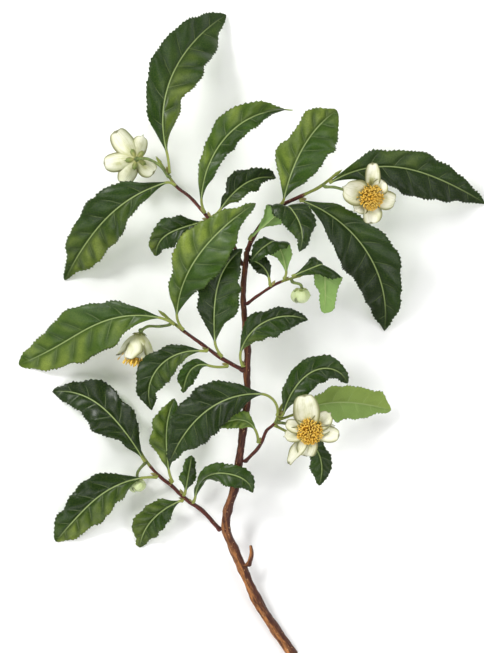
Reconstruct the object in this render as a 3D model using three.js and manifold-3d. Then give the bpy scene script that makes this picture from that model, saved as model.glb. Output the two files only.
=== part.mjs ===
// A cut flowering branch of the tea plant, laid down on a table.
// Millimetres, +Z up. The stem runs along +Y from its cut end, the leaves spread over the table,
// and the table is the plane z = 0. The origin is under the middle of the whole branch.
//
// A heading is degrees in plan, anticlockwise from +X. A climb is degrees above the level.
// What changes along a leaf is given as evenly spaced values, from its base to its tip.

import * as THREE from "three";
import { mergeVertices } from "three/addons/utils/BufferGeometryUtils.js";
import Module from "manifold-3d";

const wasm = await Module();
wasm.setup();

// ---------------------------------------------------------------- driving sizes

const MIDDLE = { x: 9.48, y: -7.43 }; // middle of the branch in plan, in the frame its sizes are given in
const WELD = 0.001; // points this close are one
const CLEAR = 0.45; // space left at the foot of each twig, petiole and flower stalk
const LIMB_SIDES = 10;
const LIMB_STEP = 8; // length of one straight facet of a limb
const NODE_SWELL = 0.14; // how much a limb thickens where a leaf or twig stands
const NODE_LENGTH = 4;
const TIP_BUD = 9; // length of the pointed bud that ends a twig
const TIP_BUD_FORM = [[0.25, 1.25], [0.5, 1.35], [0.8, 0.75]]; // [share of its length, width in twig widths]

const LEAF_THICK = 0.011; // of a leaf's length
const LEAST_THICK = 0.7;
const MIDRIB_DEPTH = 1.5; // how far the midrib stands under a blade, in half thicknesses
const PETIOLE_RADIUS = 0.95;
const PETIOLE_STEPS = 3;
const TWIST_STEP = 36; // degrees that a petiole may twist in one step
const BLADE_STEPS = 11;
const CREASED_STEPS = 22; // for a blade that folds over
const BLADE_SIDES = 8;
const CREASED_SIDES = 12;
const CREASE_RADIUS = 2.6;
const WIDEST = 0.47; // where along a blade it is widest
const BASE_PINCH = 1.25; // over 1 draws the blade's base in to a wedge
const TIP_PINCH = 0.85; // under 1 keeps the blade full towards its tip
const TABLE_EASE = 2; // the height over which a leaf eases onto the table
const ARCH_FALL = 0.62; // how far the rise of a blade from its midrib levels off towards its edge
const RIGHT_LAG = 1.7; // radians that the waves of the right edge lag behind those of the left

const PETAL_THICK = 1.1;
const PETAL_WIDEST = 0.6;
const PETAL_CUP = 0.35; // how far a petal's edges stand up, in half widths
const PETAL_FOOT = 1.5; // from the bloom's axis
const PETAL_NARROW = 0.35; // width of a petal's foot, as a share of its greatest
const PETAL_STEPS = 5;
const PETAL_SIDES = 6;
const PEDICEL_RADIUS = 1.3;
const CALYX_RADIUS = 4;
const CALYX_FLAT = 0.8; // height of a calyx, as a share of its radius
const CALYX_LIFT = 0.5;
const STAMEN_RADIUS = 8;
const STAMEN_HEIGHT = 5;
const STAMEN_LIFT = 3.5;
const BUD_LONG = 1.08; // half height of a bud, as a share of its radius
const BUD_CALYX = { radius: 0.75, height: 0.6, drop: 0.6 }; // shares of the bud's radius

const BARK = { color: 0x9a5f38, roughness: 0.7, metalness: 0 };
const TWIG_BARK = { color: 0x6b2a1c, roughness: 0.65, metalness: 0 };
const LEAF_GREEN = { color: 0x34521f, roughness: 0.4, metalness: 0 };
const PETAL_CREAM = { color: 0xf1edd2, roughness: 0.55, metalness: 0 };
const BUD_GREEN = { color: 0xc9d69a, roughness: 0.5, metalness: 0 };

// ---------------------------------------------------------------- directions and laws

const rad = THREE.MathUtils.degToRad;
const UP = new THREE.Vector3(0, 0, 1);

function aim(heading, climb) {
  const level = Math.cos(rad(climb));
  return new THREE.Vector3(
    Math.cos(rad(heading)) * level,
    Math.sin(rad(heading)) * level,
    Math.sin(rad(climb)),
  );
}

// The value at t, from 0 to 1, on a smooth curve through evenly spaced values.
function along(values, t) {
  const last = values.length - 1;
  const i = Math.min(Math.floor(t * last), last - 1);
  const u = t * last - i;
  const before = values[i - 1] ?? 2 * values[0] - values[1];
  const after = values[i + 2] ?? 2 * values[last] - values[last - 1];
  const [here, next] = [values[i], values[i + 1]];
  const slope = next - before;
  const bend = 2 * before - 5 * here + 4 * next - after;
  const twist = 3 * here - before - 3 * next + after;
  return here + 0.5 * u * (slope + u * (bend + u * twist));
}

// A height that eases down to a floor and never goes through it.
function onTable(z, floor) {
  return (z + floor + Math.hypot(z - floor, TABLE_EASE)) / 2;
}

// The three directions of a blade that points along forward and is rolled about it.
function bladeFrame(forward, roll) {
  const across = new THREE.Vector3().crossVectors(forward, UP).normalize();
  const normal = new THREE.Vector3().crossVectors(across, forward);
  across.applyAxisAngle(forward, rad(roll));
  normal.applyAxisAngle(forward, rad(roll));
  return { forward, across, normal };
}

// ---------------------------------------------------------------- closed skins and joins

// A closed skin over rings of points that all turn the same way. An end ring may be one point.
function skin(rings) {
  const starts = [];
  let count = 0;
  for (const ring of rings) {
    starts.push(count);
    count += ring.length;
  }
  const faces = [];
  for (let i = 0; i + 1 < rings.length; i += 1) {
    const sides = Math.max(rings[i].length, rings[i + 1].length);
    for (let k = 0; k < sides; k += 1) {
      const a = starts[i] + (k % rings[i].length);
      const b = starts[i] + ((k + 1) % rings[i].length);
      const c = starts[i + 1] + (k % rings[i + 1].length);
      const d = starts[i + 1] + ((k + 1) % rings[i + 1].length);
      if (a !== b) faces.push(a, b, d);
      if (c !== d) faces.push(a, d, c);
    }
  }
  const last = rings.length - 1;
  for (let k = 1; k + 1 < rings[0].length; k += 1) {
    faces.push(starts[0], starts[0] + k + 1, starts[0] + k);
  }
  for (let k = 1; k + 1 < rings[last].length; k += 1) {
    faces.push(starts[last], starts[last] + k, starts[last] + k + 1);
  }
  const places = rings.flat().flatMap((point) => point.toArray());
  const geometry = new THREE.BufferGeometry();
  geometry.setAttribute("position", new THREE.Float32BufferAttribute(places, 3));
  geometry.setIndex(faces);
  return geometry;
}

function solidOf(geometry) {
  const bare = geometry.clone();
  bare.deleteAttribute("normal");
  bare.deleteAttribute("uv");
  const merged = mergeVertices(bare, WELD);
  return new wasm.Manifold(
    new wasm.Mesh({
      numProp: 3,
      vertProperties: merged.attributes.position.array,
      triVerts: new Uint32Array(merged.index.array),
    }),
  );
}

function geometryOf(solid) {
  const mesh = solid.getMesh();
  const geometry = new THREE.BufferGeometry();
  geometry.setAttribute("position", new THREE.BufferAttribute(mesh.vertProperties, 3));
  geometry.setIndex(new THREE.BufferAttribute(mesh.triVerts, 1));
  return geometry;
}

// Joins overlapping pieces into one body and keeps its outer shell, so a hollow they seal is filled.
function fuse(geometries) {
  let whole = solidOf(geometries[0]);
  for (const piece of geometries.slice(1)) {
    whole = whole.add(solidOf(piece));
  }
  const shells = solidOf(geometryOf(whole)).decompose();
  const outer = shells.reduce((best, shell) => (shell.volume() > best.volume() ? shell : best));
  return geometryOf(outer);
}

const branch = new THREE.Group();
branch.position.set(-MIDDLE.x, -MIDDLE.y, 0);

function place(name, geometry, finish) {
  const mesh = new THREE.Mesh(geometry, new THREE.MeshStandardMaterial(finish));
  mesh.name = name;
  branch.add(mesh);
}

// ---------------------------------------------------------------- stem and twigs

// A ring round a limb's axis, turned so that its first point lies level to the right.
function roundRing(centre, forward, radius, sides) {
  const { across, normal } = bladeFrame(forward, 0);
  const ring = [];
  for (let k = 0; k < sides; k += 1) {
    const turn = (2 * Math.PI * k) / sides;
    const out = across.clone().multiplyScalar(-Math.cos(turn));
    out.addScaledVector(normal, Math.sin(turn));
    ring.push(centre.clone().addScaledVector(out, radius));
  }
  return ring;
}

// A limb runs through its nodes, the places where leaves and twigs stand, and tapers evenly.
class Limb {
  constructor(nodes, base, tip) {
    this.curve = new THREE.CatmullRomCurve3(nodes.map((node) => new THREE.Vector3(...node)));
    this.curve.arcLengthDivisions = 400;
    this.length = this.curve.getLength();
    this.base = base;
    this.tip = tip;
    this.last = nodes.length - 1;
  }

  // How far along the limb, from 0 to 1 of its length, its node stands.
  share(node) {
    const lengths = this.curve.getLengths();
    return lengths[Math.round((node / this.last) * (lengths.length - 1))] / this.length;
  }

  radius(node) {
    const share = this.share(node);
    let swell = 0;
    for (let near = 1; near < this.last; near += 1) {
      const away = ((share - this.share(near)) * this.length) / NODE_LENGTH;
      swell = Math.max(swell, NODE_SWELL * Math.exp(-away * away));
    }
    return THREE.MathUtils.lerp(this.base, this.tip, share) * (1 + swell);
  }

  at(node) {
    return {
      point: this.curve.getPoint(node / this.last),
      forward: this.curve.getTangent(node / this.last),
      radius: this.radius(node),
    };
  }

  ring(node, sides) {
    const { point, forward, radius } = this.at(node);
    return roundRing(point, forward, radius, sides);
  }

  rings(sides) {
    const rings = [];
    for (let node = 0; node < this.last; node += 1) {
      const reach = (this.share(node + 1) - this.share(node)) * this.length;
      const steps = Math.ceil(reach / LIMB_STEP);
      for (let k = 0; k < steps; k += 1) rings.push(this.ring(node + k / steps, sides));
    }
    rings.push(this.ring(this.last, sides));
    return rings;
  }
}

// The slender pointed bud that a growing twig ends in.
function tipBudRings(limb, sides) {
  const centre = limb.curve.getPointAt(1);
  const forward = limb.curve.getTangentAt(1);
  const rings = [];
  for (const [share, wide] of TIP_BUD_FORM) {
    const place = centre.clone().addScaledVector(forward, share * TIP_BUD);
    rings.push(roundRing(place, forward, limb.tip * wide, sides));
  }
  rings.push([centre.clone().addScaledVector(forward, TIP_BUD)]);
  return rings;
}

// Where a round stalk starts beside a limb's node, just clear of its bark.
function foot(limb, node, heading, climb, radius) {
  const { point, forward, radius: limbRadius } = limb.at(node);
  const direction = aim(heading, climb);
  const lean = forward.dot(direction);
  const aside = direction.addScaledVector(forward, -lean).normalize();
  return point.addScaledVector(aside, limbRadius + CLEAR + radius * Math.abs(lean));
}

const STEM = new Limb(
  [[36, -231, 3.75], [23, -212, 5], [10, -191, 8], [0.5, -170, 11], [-5.5, -156, 14],
    [-11, -142, 17], [-10, -128, 20.5], [-5.5, -114, 25], [-2, -93.5, 31.5], [1, -72, 37],
    [3.5, -51, 43], [3.5, -30.5, 48], [4, -16, 51], [2.5, -2, 53.5], [1, 16, 56],
    [1, 30, 58], [3.5, 52, 60.5]],
  3.7, 1.7,
);

// A side twig leaves a node of the stem in a direction and then runs through nodes of its own.
function sideTwig(node, heading, climb, nodes, base, tip) {
  const start = foot(STEM, node, heading, climb, base);
  return new Limb([start.toArray(), ...nodes], base, tip);
}

const STEM_TOP = STEM.at(STEM.last);
const ONWARD = STEM_TOP.point.clone().addScaledVector(STEM_TOP.forward, 2 * CLEAR);

const TOP_RIGHT = new Limb(
  [ONWARD.toArray(), [7.5, 62, 61.5], [16, 74, 62.5], [27, 84, 63], [40.5, 90.5, 62.5],
    [54.5, 97.5, 60.5], [63, 104, 58.5]],
  1.7, 0.9,
);
const UPPER_LEFT = sideTwig(15.6, 136, -14,
  [[-10, 64, 55], [-23.5, 76, 51], [-36, 90, 46.5], [-46, 98, 43.5], [-55.5, 112, 39.5]],
  1.4, 0.9);
const MIDDLE_LEFT = sideTwig(11, 158, -6,
  [[-14.5, -22, 46], [-29, -11.5, 44], [-41, -3, 42], [-52, 6, 39]],
  1.5, 0.9);
const MIDDLE_RIGHT = sideTwig(14, 12, 0,
  [[9.5, 20.5, 56], [20, 27.5, 55], [25.5, 30.5, 54.5], [36, 34, 52.5]],
  1.1, 0.8);
const LOWER_RIGHT = sideTwig(8, 32, 8,
  [[11, -85, 34.5], [14.5, -79, 37], [17, -73, 39], [23, -67.5, 42], [25.5, -61, 44]],
  1.3, 0.9);
const LOWER_LEFT = sideTwig(5, 140, -4,
  [[-29, -128, 15.5], [-36.5, -123, 14.8], [-43, -117.5, 14], [-50, -111, 13.2],
    [-56, -106.5, 12.5], [-64, -98.5, 11.5], [-69, -91.5, 11]],
  1.6, 0.9);
const STUB = sideTwig(3.1, 52, 14, [[6.5, -160, 13.5], [6, -153.5, 15.5]], 1.8, 1);

place("main_stem", skin(STEM.rings(LIMB_SIDES + 2)), BARK);
place("dead_stub", skin(STUB.rings(LIMB_SIDES - 2)), BARK);
const TWIGS = {
  twig_top_right: TOP_RIGHT,
  twig_upper_left: UPPER_LEFT,
  twig_middle_left: MIDDLE_LEFT,
  twig_middle_right: MIDDLE_RIGHT,
  twig_lower_right: LOWER_RIGHT,
  twig_lower_left: LOWER_LEFT,
};
for (const [name, limb] of Object.entries(TWIGS)) {
  const rings = [...limb.rings(LIMB_SIDES - 2), ...tipBudRings(limb, LIMB_SIDES - 2)];
  place(name, skin(rings), TWIG_BARK);
}

// ---------------------------------------------------------------- leaves

// Half the width of a blade at t, as a share of its greatest: a wedge at the base, drawn out at the tip.
function outline(t) {
  const side = t < WIDEST ? t / WIDEST : (1 - t) / (1 - WIDEST);
  const full = Math.sin((Math.PI / 2) * side);
  return Math.pow(full, t < WIDEST ? BASE_PINCH : TIP_PINCH);
}

// Bends what lies beyond a crease over it, round a small radius, as a leaf that folds back on itself.
function foldOver(point, crease) {
  const from = point.clone().sub(crease.place);
  const side = from.dot(crease.axis);
  const beyond = from.dot(crease.over);
  const height = from.dot(crease.normal);
  if (beyond <= 0) return point;
  const angle = Math.min(beyond / CREASE_RADIUS, rad(crease.turn));
  const rest = beyond - angle * CREASE_RADIUS;
  const reach = (CREASE_RADIUS - height) * Math.sin(angle) + rest * Math.cos(angle);
  const rise = CREASE_RADIUS - (CREASE_RADIUS - height) * Math.cos(angle) + rest * Math.sin(angle);
  return crease.place.clone()
    .addScaledVector(crease.axis, side)
    .addScaledVector(crease.over, reach)
    .addScaledVector(crease.normal, rise);
}

// The rings of a leaf: a round petiole that runs into a blade with a midrib, arched halves and a wavy edge.
function leafRings(limb, node, leaf) {
  const [stalk, stalkHeading, stalkClimb] = leaf.stalk;
  const [length, left, right] = leaf.blade;
  const roll = leaf.roll ?? [0, 0, 0];
  const arch = leaf.arch ?? 10;
  const wave = leaf.wave ?? 1;
  const waves = leaf.waves ?? 3;
  const thick = Math.max(LEAST_THICK, LEAF_THICK * length);
  const sides = leaf.crease ? CREASED_SIDES : BLADE_SIDES;
  const steps = leaf.crease ? CREASED_STEPS : BLADE_STEPS;
  const rings = [];
  const centre = foot(limb, node, stalkHeading, stalkClimb, PETIOLE_RADIUS);
  let crease = null;

  const stalkAim = (t) => aim(
    THREE.MathUtils.lerp(stalkHeading, leaf.heading[0], t),
    THREE.MathUtils.lerp(stalkClimb, leaf.climb[0], t),
  );
  const bladeAim = (t) => aim(along(leaf.heading, t), along(leaf.climb, t));
  const addRing = (frame, halves, thickness, rise) => {
    const ring = [];
    for (let k = 0; k < sides; k += 1) {
      const turn = (2 * Math.PI * k) / sides;
      const side = -Math.cos(turn);
      const keel = Math.abs(side) < 0.01 && Math.sin(turn) < 0 ? MIDRIB_DEPTH : 1;
      const height = (Math.sin(turn) * keel * thickness) / 2;
      const point = centre.clone()
        .addScaledVector(frame.across, side * halves[side < 0 ? 0 : 1])
        .addScaledVector(frame.normal, height + rise(side));
      ring.push(point);
    }
    rings.push(ring);
  };

  const stalkSteps = PETIOLE_STEPS + Math.ceil(Math.abs(roll[0]) / TWIST_STEP);
  for (let i = 0; i <= stalkSteps; i += 1) {
    const t = i / stalkSteps;
    if (i > 0) centre.addScaledVector(stalkAim(t - 0.5 / stalkSteps), stalk / stalkSteps);
    const frame = bladeFrame(stalkAim(t), roll[0] * t);
    addRing(frame, [PETIOLE_RADIUS, PETIOLE_RADIUS], 2 * PETIOLE_RADIUS, () => 0);
  }
  for (let i = 1; i <= steps; i += 1) {
    const t = i / steps;
    const frame = bladeFrame(bladeAim(t), along(roll, t));
    centre.addScaledVector(bladeAim(t - 0.5 / steps), length / steps);
    const least = PETIOLE_RADIUS * (1 - t) * (1 - t);
    const halves = [left * outline(t) + least, right * outline(t) + least];
    const ripple = (side) => Math.sin(2 * Math.PI * waves * t + (side < 0 ? 0 : RIGHT_LAG));
    const rise = (side) =>
      halves[side < 0 ? 0 : 1] * Math.tan(rad(arch)) * 2 * Math.abs(side) * (1 - ARCH_FALL * Math.abs(side)) +
      wave * ripple(side) * side * side * outline(t);
    if (i === steps) rings.push([centre.clone()]);
    else addRing(frame, halves, THREE.MathUtils.lerp(thick, LEAST_THICK, t * t), rise);
    if (leaf.crease && !crease && t >= leaf.crease.at) {
      const axis = frame.forward.clone().applyAxisAngle(frame.normal, rad(leaf.crease.slant));
      const over = new THREE.Vector3().crossVectors(frame.normal, axis);
      if (over.dot(frame.forward) < 0) over.negate();
      crease = { place: centre.clone(), axis, over, normal: frame.normal, turn: leaf.crease.turn };
      if (leaf.crease.under) crease.normal = crease.normal.clone().negate();
    }
  }
  return rings.map((ring) => ring.map((point, k) => {
    const placed = crease ? foldOver(point, crease) : point;
    const floor = ring.length === 1 ? 0 : ((Math.sin((2 * Math.PI * k) / sides) + 1) * thick) / 2;
    placed.z = onTable(placed.z, floor);
    return placed;
  }));
}

const LEAVES = {
  // on the upper left twig
  leaf_upper_left_1: [UPPER_LEFT, 4.6,
    { stalk: [17, 92, 14], blade: [126, 17.5, 17.5], heading: [104, 62, 32], climb: [18, -30, -39],
      roll: [0, 10, 10] }],
  leaf_upper_left_2: [UPPER_LEFT, 4,
    { stalk: [8, 134, 2], blade: [110, 15.5, 16], heading: [197, 228, 244], climb: [3, -31, -36] }],
  leaf_upper_left_3: [UPPER_LEFT, 2.2,
    { stalk: [11, 120, 24], blade: [103, 11, 9.5], heading: [87, 45, -6], climb: [16, -15, -20],
      roll: [0, 0, 0, 20, 120], wave: 1.8 }],
  leaf_upper_left_4: [UPPER_LEFT, 1.9,
    { stalk: [9, 30, 10], blade: [49, 10.5, 8], heading: [58, 32, -14], climb: [4, -17, -27] }],
  leaf_upper_left_5: [UPPER_LEFT, 1.9,
    { stalk: [5.5, 172, -8], blade: [46, 9.5, 9.5], heading: [194, 209, 278], climb: [2, -21, -38] }],
  // on the top right twig
  leaf_top_right_1: [TOP_RIGHT, 3,
    { stalk: [6, 42, 28], blade: [78, 13.5, 18], heading: [78, 60, 35], climb: [11, -22, -26],
      roll: [0, 4, 4] }],
  leaf_top_right_2: [TOP_RIGHT, 5.6,
    { stalk: [2, 20, 6], blade: [132, 12, 16], heading: [31, -15, -32], climb: [-10, -31, -37] }],
  leaf_top_right_3: [TOP_RIGHT, 3.9,
    { stalk: [3, 10, -8], blade: [132, 17, 19], heading: [-21, -59, -98], climb: [-13, -31, -36],
      roll: [0, 4, 4] }],
  leaf_top_right_4: [TOP_RIGHT, 0.8,
    { stalk: [4, 80, 30], blade: [70, 11.5, 11.5], heading: [38, 50, 114], climb: [26, 4, 10],
      roll: [245, 190, 180], crease: { at: 0.4, slant: 46, turn: 160, under: true } }],
  // on the middle left twig
  leaf_middle_left_1: [MIDDLE_LEFT, 3,
    { stalk: [14, 136, 12], blade: [106, 15.5, 17.5], heading: [86, 53, 31], climb: [38, 18, -24],
      wave: 1.8 }],
  leaf_middle_left_2: [MIDDLE_LEFT, 1,
    { stalk: [13, 134, 19], blade: [72, 11.5, 15.5], heading: [95, 79, 36], climb: [22, 12, -10] }],
  leaf_middle_left_3: [MIDDLE_LEFT, 3.5,
    { stalk: [12.5, 144, 8], blade: [112, 18, 16], heading: [169, 209, 202], climb: [-2, -32, -24] }],
  leaf_middle_left_4: [MIDDLE_LEFT, 1.6,
    { stalk: [5.5, 184, 26], blade: [69, 10.5, 10.5], heading: [176, 232, 294], climb: [-3, -24, -28] }],
  leaf_middle_left_5: [MIDDLE_LEFT, 0.6,
    { stalk: [14.5, 192, -4], blade: [32, 5.5, 5.5], heading: [162, 240, 264], climb: [-8, -21, -25] }],
  // on the stem itself
  leaf_on_stem: [STEM, 11.2,
    { stalk: [13, 118, 28], blade: [61, 7.5, 11], heading: [74, 23, -24], climb: [29, -8, -31],
      roll: [0, 4, 4] }],
  // on the middle right twig
  leaf_middle_right_1: [MIDDLE_RIGHT, 2.05,
    { stalk: [5.5, 95, 23], blade: [22, 5, 5.5], heading: [103, 144, 168], climb: [6, -7, -13] }],
  leaf_middle_right_2: [MIDDLE_RIGHT, 3.4,
    { stalk: [6, 50, 20], blade: [48, 9, 6], heading: [98, 116, 84], climb: [4, 2, 2],
      roll: [180, 180, 180], crease: { at: 0.35, slant: -48, turn: 165, under: true } }],
  leaf_middle_right_3: [MIDDLE_RIGHT, 3.9,
    { stalk: [3, 25, 0], blade: [58, 7, 10.5], heading: [24, 20, 28], climb: [10, -6, -10],
      crease: { at: 0.25, slant: -55, turn: 150, under: true } }],
  // on the lower right twig
  leaf_lower_right_1: [LOWER_RIGHT, 4.9,
    { stalk: [4, 30, 20], blade: [69, 9, 9.5], heading: [77, 32, -71], climb: [31, -9, -33],
      roll: [0, -4, -4] }],
  leaf_lower_right_2: [LOWER_RIGHT, 4.5,
    { stalk: [15.5, 14, -8], blade: [73, 12, 13], heading: [26, -3, -16], climb: [-11, -29, -29],
      roll: [180, 180, 180] }],
  leaf_lower_right_3: [LOWER_RIGHT, 3.85,
    { stalk: [19, -30, -20], blade: [46, 7.5, 7.5], heading: [-18, -72, -112], climb: [-16, -24, -30] }],
  leaf_lower_right_4: [LOWER_RIGHT, 4.9,
    { stalk: [24, 76, 32], blade: [92, 15, 15], heading: [176, 221, 250], climb: [22, -24, -21] }],
  leaf_lower_right_5: [LOWER_RIGHT, 1.6,
    { stalk: [12.5, 88, 35], blade: [30, 5.5, 5.5], heading: [122, 184, 222], climb: [30, 2, -16] }],
  // on the lower left twig
  leaf_lower_left_1: [LOWER_LEFT, 6.6,
    { stalk: [5, 128, 6], blade: [85, 15.5, 15.5], heading: [120, 139, 188], climb: [12, -14, -26] }],
  leaf_lower_left_2: [LOWER_LEFT, 5.3,
    { stalk: [12, 176, 14], blade: [78, 13.5, 13.5], heading: [190, 222, 231], climb: [2, -15, -18] }],
  leaf_lower_left_3: [LOWER_LEFT, 4,
    { stalk: [10.5, 115, 8], blade: [52, 10.5, 10.5], heading: [98, 88, 64], climb: [24, 14, 0] }],
  leaf_lower_left_4: [LOWER_LEFT, 2.75,
    { stalk: [4, 70, 30], blade: [25, 5, 5], heading: [80, 80, 80], climb: [26, 8, -4] }],
  leaf_lower_left_5: [LOWER_LEFT, 1.75,
    { stalk: [5, 60, 30], blade: [60, 7.5, 7.5], heading: [85, 45, 0, -26, -84], climb: [24, 36, 14, 0, -34],
      roll: [0, 70, 10, 0, 0] }],
  leaf_lower_left_6: [LOWER_LEFT, 2.5,
    { stalk: [3, 175, 2], blade: [47, 8.5, 9.5], heading: [203, 228, 264], climb: [-8, -20, -22] }],
};
for (const [name, [limb, node, leaf]] of Object.entries(LEAVES)) {
  place(name, skin(leafRings(limb, node, leaf)), LEAF_GREEN);
}

// ---------------------------------------------------------------- blooms and buds

// A petal stands out from a bloom's axis, which is +Z here, and opens from one angle off it to another.
function petalRings([turn, length, width, openFrom, openTo]) {
  const out = aim(turn, 0);
  const across = aim(turn + 90, 0);
  const centre = out.clone().multiplyScalar(PETAL_FOOT);
  const rings = [];
  for (let i = 0; i <= PETAL_STEPS; i += 1) {
    const t = i / PETAL_STEPS;
    const open = rad(THREE.MathUtils.lerp(openFrom, openTo, t));
    const forward = out.clone().multiplyScalar(Math.sin(open)).addScaledVector(UP, Math.cos(open));
    const inward = new THREE.Vector3().crossVectors(forward, across);
    if (i > 0) centre.addScaledVector(forward, length / PETAL_STEPS);
    const round = t < PETAL_WIDEST ? t / PETAL_WIDEST : (1 - t) / (1 - PETAL_WIDEST);
    const full = t < PETAL_WIDEST
      ? THREE.MathUtils.lerp(PETAL_NARROW, 1, Math.sin((Math.PI / 2) * round))
      : Math.sqrt(1 - (1 - round) ** 2);
    const half = (width / 2) * full;
    if (i === PETAL_STEPS) {
      rings.push([centre.clone()]);
      break;
    }
    const ring = [];
    for (let k = 0; k < PETAL_SIDES; k += 1) {
      const angle = (2 * Math.PI * k) / PETAL_SIDES;
      const side = Math.cos(angle);
      const height = (Math.sin(angle) * PETAL_THICK) / 2 + PETAL_CUP * half * side * side;
      ring.push(centre.clone().addScaledVector(across, side * half).addScaledVector(inward, height));
    }
    rings.push(ring);
  }
  return rings;
}

// Where a bloom or bud stands and which way it faces.
function bloomMatrix(at, heading, climb) {
  const axis = aim(heading, climb);
  const east = new THREE.Vector3(1, 0, 0);
  const first = east.addScaledVector(axis, -east.dot(axis)).normalize();
  const second = new THREE.Vector3().crossVectors(axis, first);
  return new THREE.Matrix4().makeBasis(first, second, axis).setPosition(...at);
}

function ball(radius, height, lift) {
  const geometry = new THREE.SphereGeometry(radius, 10, 6).rotateX(Math.PI / 2);
  return geometry.scale(1, 1, height / radius).translate(0, 0, lift);
}

// The stalk of a bloom: it leaves a twig's node and bends through its points to the calyx.
function pedicel(limb, node, heading, climb, nodes) {
  const start = foot(limb, node, heading, climb, PEDICEL_RADIUS);
  const leaving = start.clone().addScaledVector(aim(heading, climb), PEDICEL_RADIUS);
  const stalk = new Limb(
    [start.toArray(), leaving.toArray(), ...nodes],
    PEDICEL_RADIUS, PEDICEL_RADIUS,
  );
  return skin(stalk.rings(PETAL_SIDES));
}

const BLOOMS = {
  bloom_upper_left: {
    at: [-74, 117, 34], faces: [180, -84],
    stalk: [UPPER_LEFT, 4.5, 190, 75, [[-57, 112, 47], [-66, 117, 44], [-74, 117, 34.5]]],
    petals: [[-125, 24, 16, 60, 88], [-72, 17, 12, 50, 80], [172, 22, 14, 62, 86], [118, 19, 13, 60, 80],
      [36, 15, 14, 70, 94]],
    sepals: [[-150, 8, 5, 80, 80], [-70, 8, 5, 80, 80], [145, 8, 5, 80, 80], [80, 8, 5, 80, 80]],
  },
  bloom_middle_left: {
    at: [-71.5, -5, 26], faces: [-95, -8],
    stalk: [MIDDLE_LEFT, 3.7, 215, -20, [[-58, 0, 34], [-66, 0, 30], [-71.5, -3.5, 26.5]]],
    petals: [[10, 20, 15, 40, 6], [70, 18, 15, 42, 4], [130, 20, 15, 44, 8], [190, 21, 14, 48, 20],
      [250, 19, 15, 42, 8], [310, 19, 15, 42, 6]],
    sepals: [],
  },
  bloom_lower_right: {
    at: [47.5, -72.5, 47], faces: [250, 80],
    stalk: [LOWER_RIGHT, 4.25, -10, 24, [[32, -68, 43.5], [41, -71, 42], [47.5, -72.5, 46]]],
    petals: [[98, 27, 19, 60, 82], [42, 18, 13, 60, 96], [-8, 20, 12, 66, 92], [-100, 17, 15, 70, 96],
      [-122, 27, 9, 74, 98], [180, 20, 17, 60, 80]],
    sepals: [],
  },
  bloom_top_right: {
    at: [88, 90.5, 66], faces: [-20, 62],
    stalk: [TOP_RIGHT, 5.2, -12, 26, [[64, 97, 63], [70, 95.5, 64], [78, 92.5, 64.5], [87.5, 90.5, 65]]],
    petals: [[88, 24, 11, 66, 84], [158, 22, 19, 70, 84], [54, 15, 13, 50, 70], [-12, 18, 14, 56, 74],
      [-92, 18, 15, 60, 84], [-146, 14, 13, 66, 84]],
    sepals: [],
  },
};
for (const [name, bloom] of Object.entries(BLOOMS)) {
  const matrix = bloomMatrix(bloom.at, ...bloom.faces);
  const leafy = [...bloom.petals, ...bloom.sepals].map((petal) => skin(petalRings(petal)));
  const calyx = ball(CALYX_RADIUS, CALYX_RADIUS * CALYX_FLAT, CALYX_LIFT);
  const stamens = ball(STAMEN_RADIUS, STAMEN_HEIGHT, STAMEN_LIFT);
  const flower = [calyx, stamens, ...leafy].map((piece) => piece.applyMatrix4(matrix));
  place(name, fuse([pedicel(...bloom.stalk), ...flower]), PETAL_CREAM);
}

const BUDS = {
  bud_middle_right: {
    at: [41, 20, 47], faces: [-85, -10], radius: 6.2,
    stalk: [MIDDLE_RIGHT, 3.85, -50, -20, [[41, 29, 49.5], [42, 23, 47.5]]],
  },
  bud_lower_left: {
    at: [-73, -113, 8], faces: [-80, 0], radius: 5.2,
    stalk: [LOWER_LEFT, 6.5, 225, -16, [[-73, -102, 8.4], [-73.5, -109, 8]]],
  },
};
for (const [name, bud] of Object.entries(BUDS)) {
  const matrix = bloomMatrix(bud.at, ...bud.faces);
  const { radius } = bud;
  const calyx = ball(radius * BUD_CALYX.radius, radius * BUD_CALYX.height, -radius * BUD_CALYX.drop);
  const petals = ball(radius, radius * BUD_LONG, 0);
  const pieces = [calyx, petals].map((piece) => piece.applyMatrix4(matrix));
  place(name, fuse([pedicel(...bud.stalk), ...pieces]), BUD_GREEN);
}

export default branch;
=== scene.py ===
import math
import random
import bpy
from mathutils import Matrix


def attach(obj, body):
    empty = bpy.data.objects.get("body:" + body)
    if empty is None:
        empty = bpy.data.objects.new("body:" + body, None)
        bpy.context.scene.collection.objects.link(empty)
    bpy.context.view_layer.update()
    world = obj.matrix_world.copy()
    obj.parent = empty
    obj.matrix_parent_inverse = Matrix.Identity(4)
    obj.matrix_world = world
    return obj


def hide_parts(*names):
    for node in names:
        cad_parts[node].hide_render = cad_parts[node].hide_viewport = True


bl_info = {
    "name": "Tea Branch",
    "version": (1, 0, 0),
    "blender": (4, 5, 0),
    "location": "3D View > Sidebar > Tea Branch",
    "description": "A cut flowering branch of the tea plant, laid down on a pale table",
    "category": "Object",
}

import bpy
import numpy as np
from mathutils import Matrix, Vector, noise

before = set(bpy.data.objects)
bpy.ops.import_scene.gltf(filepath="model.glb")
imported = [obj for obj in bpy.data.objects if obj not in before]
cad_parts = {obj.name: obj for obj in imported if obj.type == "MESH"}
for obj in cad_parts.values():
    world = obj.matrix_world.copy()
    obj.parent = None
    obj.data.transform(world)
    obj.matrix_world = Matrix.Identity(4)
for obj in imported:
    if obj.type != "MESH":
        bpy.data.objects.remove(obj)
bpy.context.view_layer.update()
MM = 0.001

# ---------------------------------------------------------------- driving sizes, in millimetres
# They repeat the solids' own sizes, so that every piece lies where its solid lies.

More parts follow.
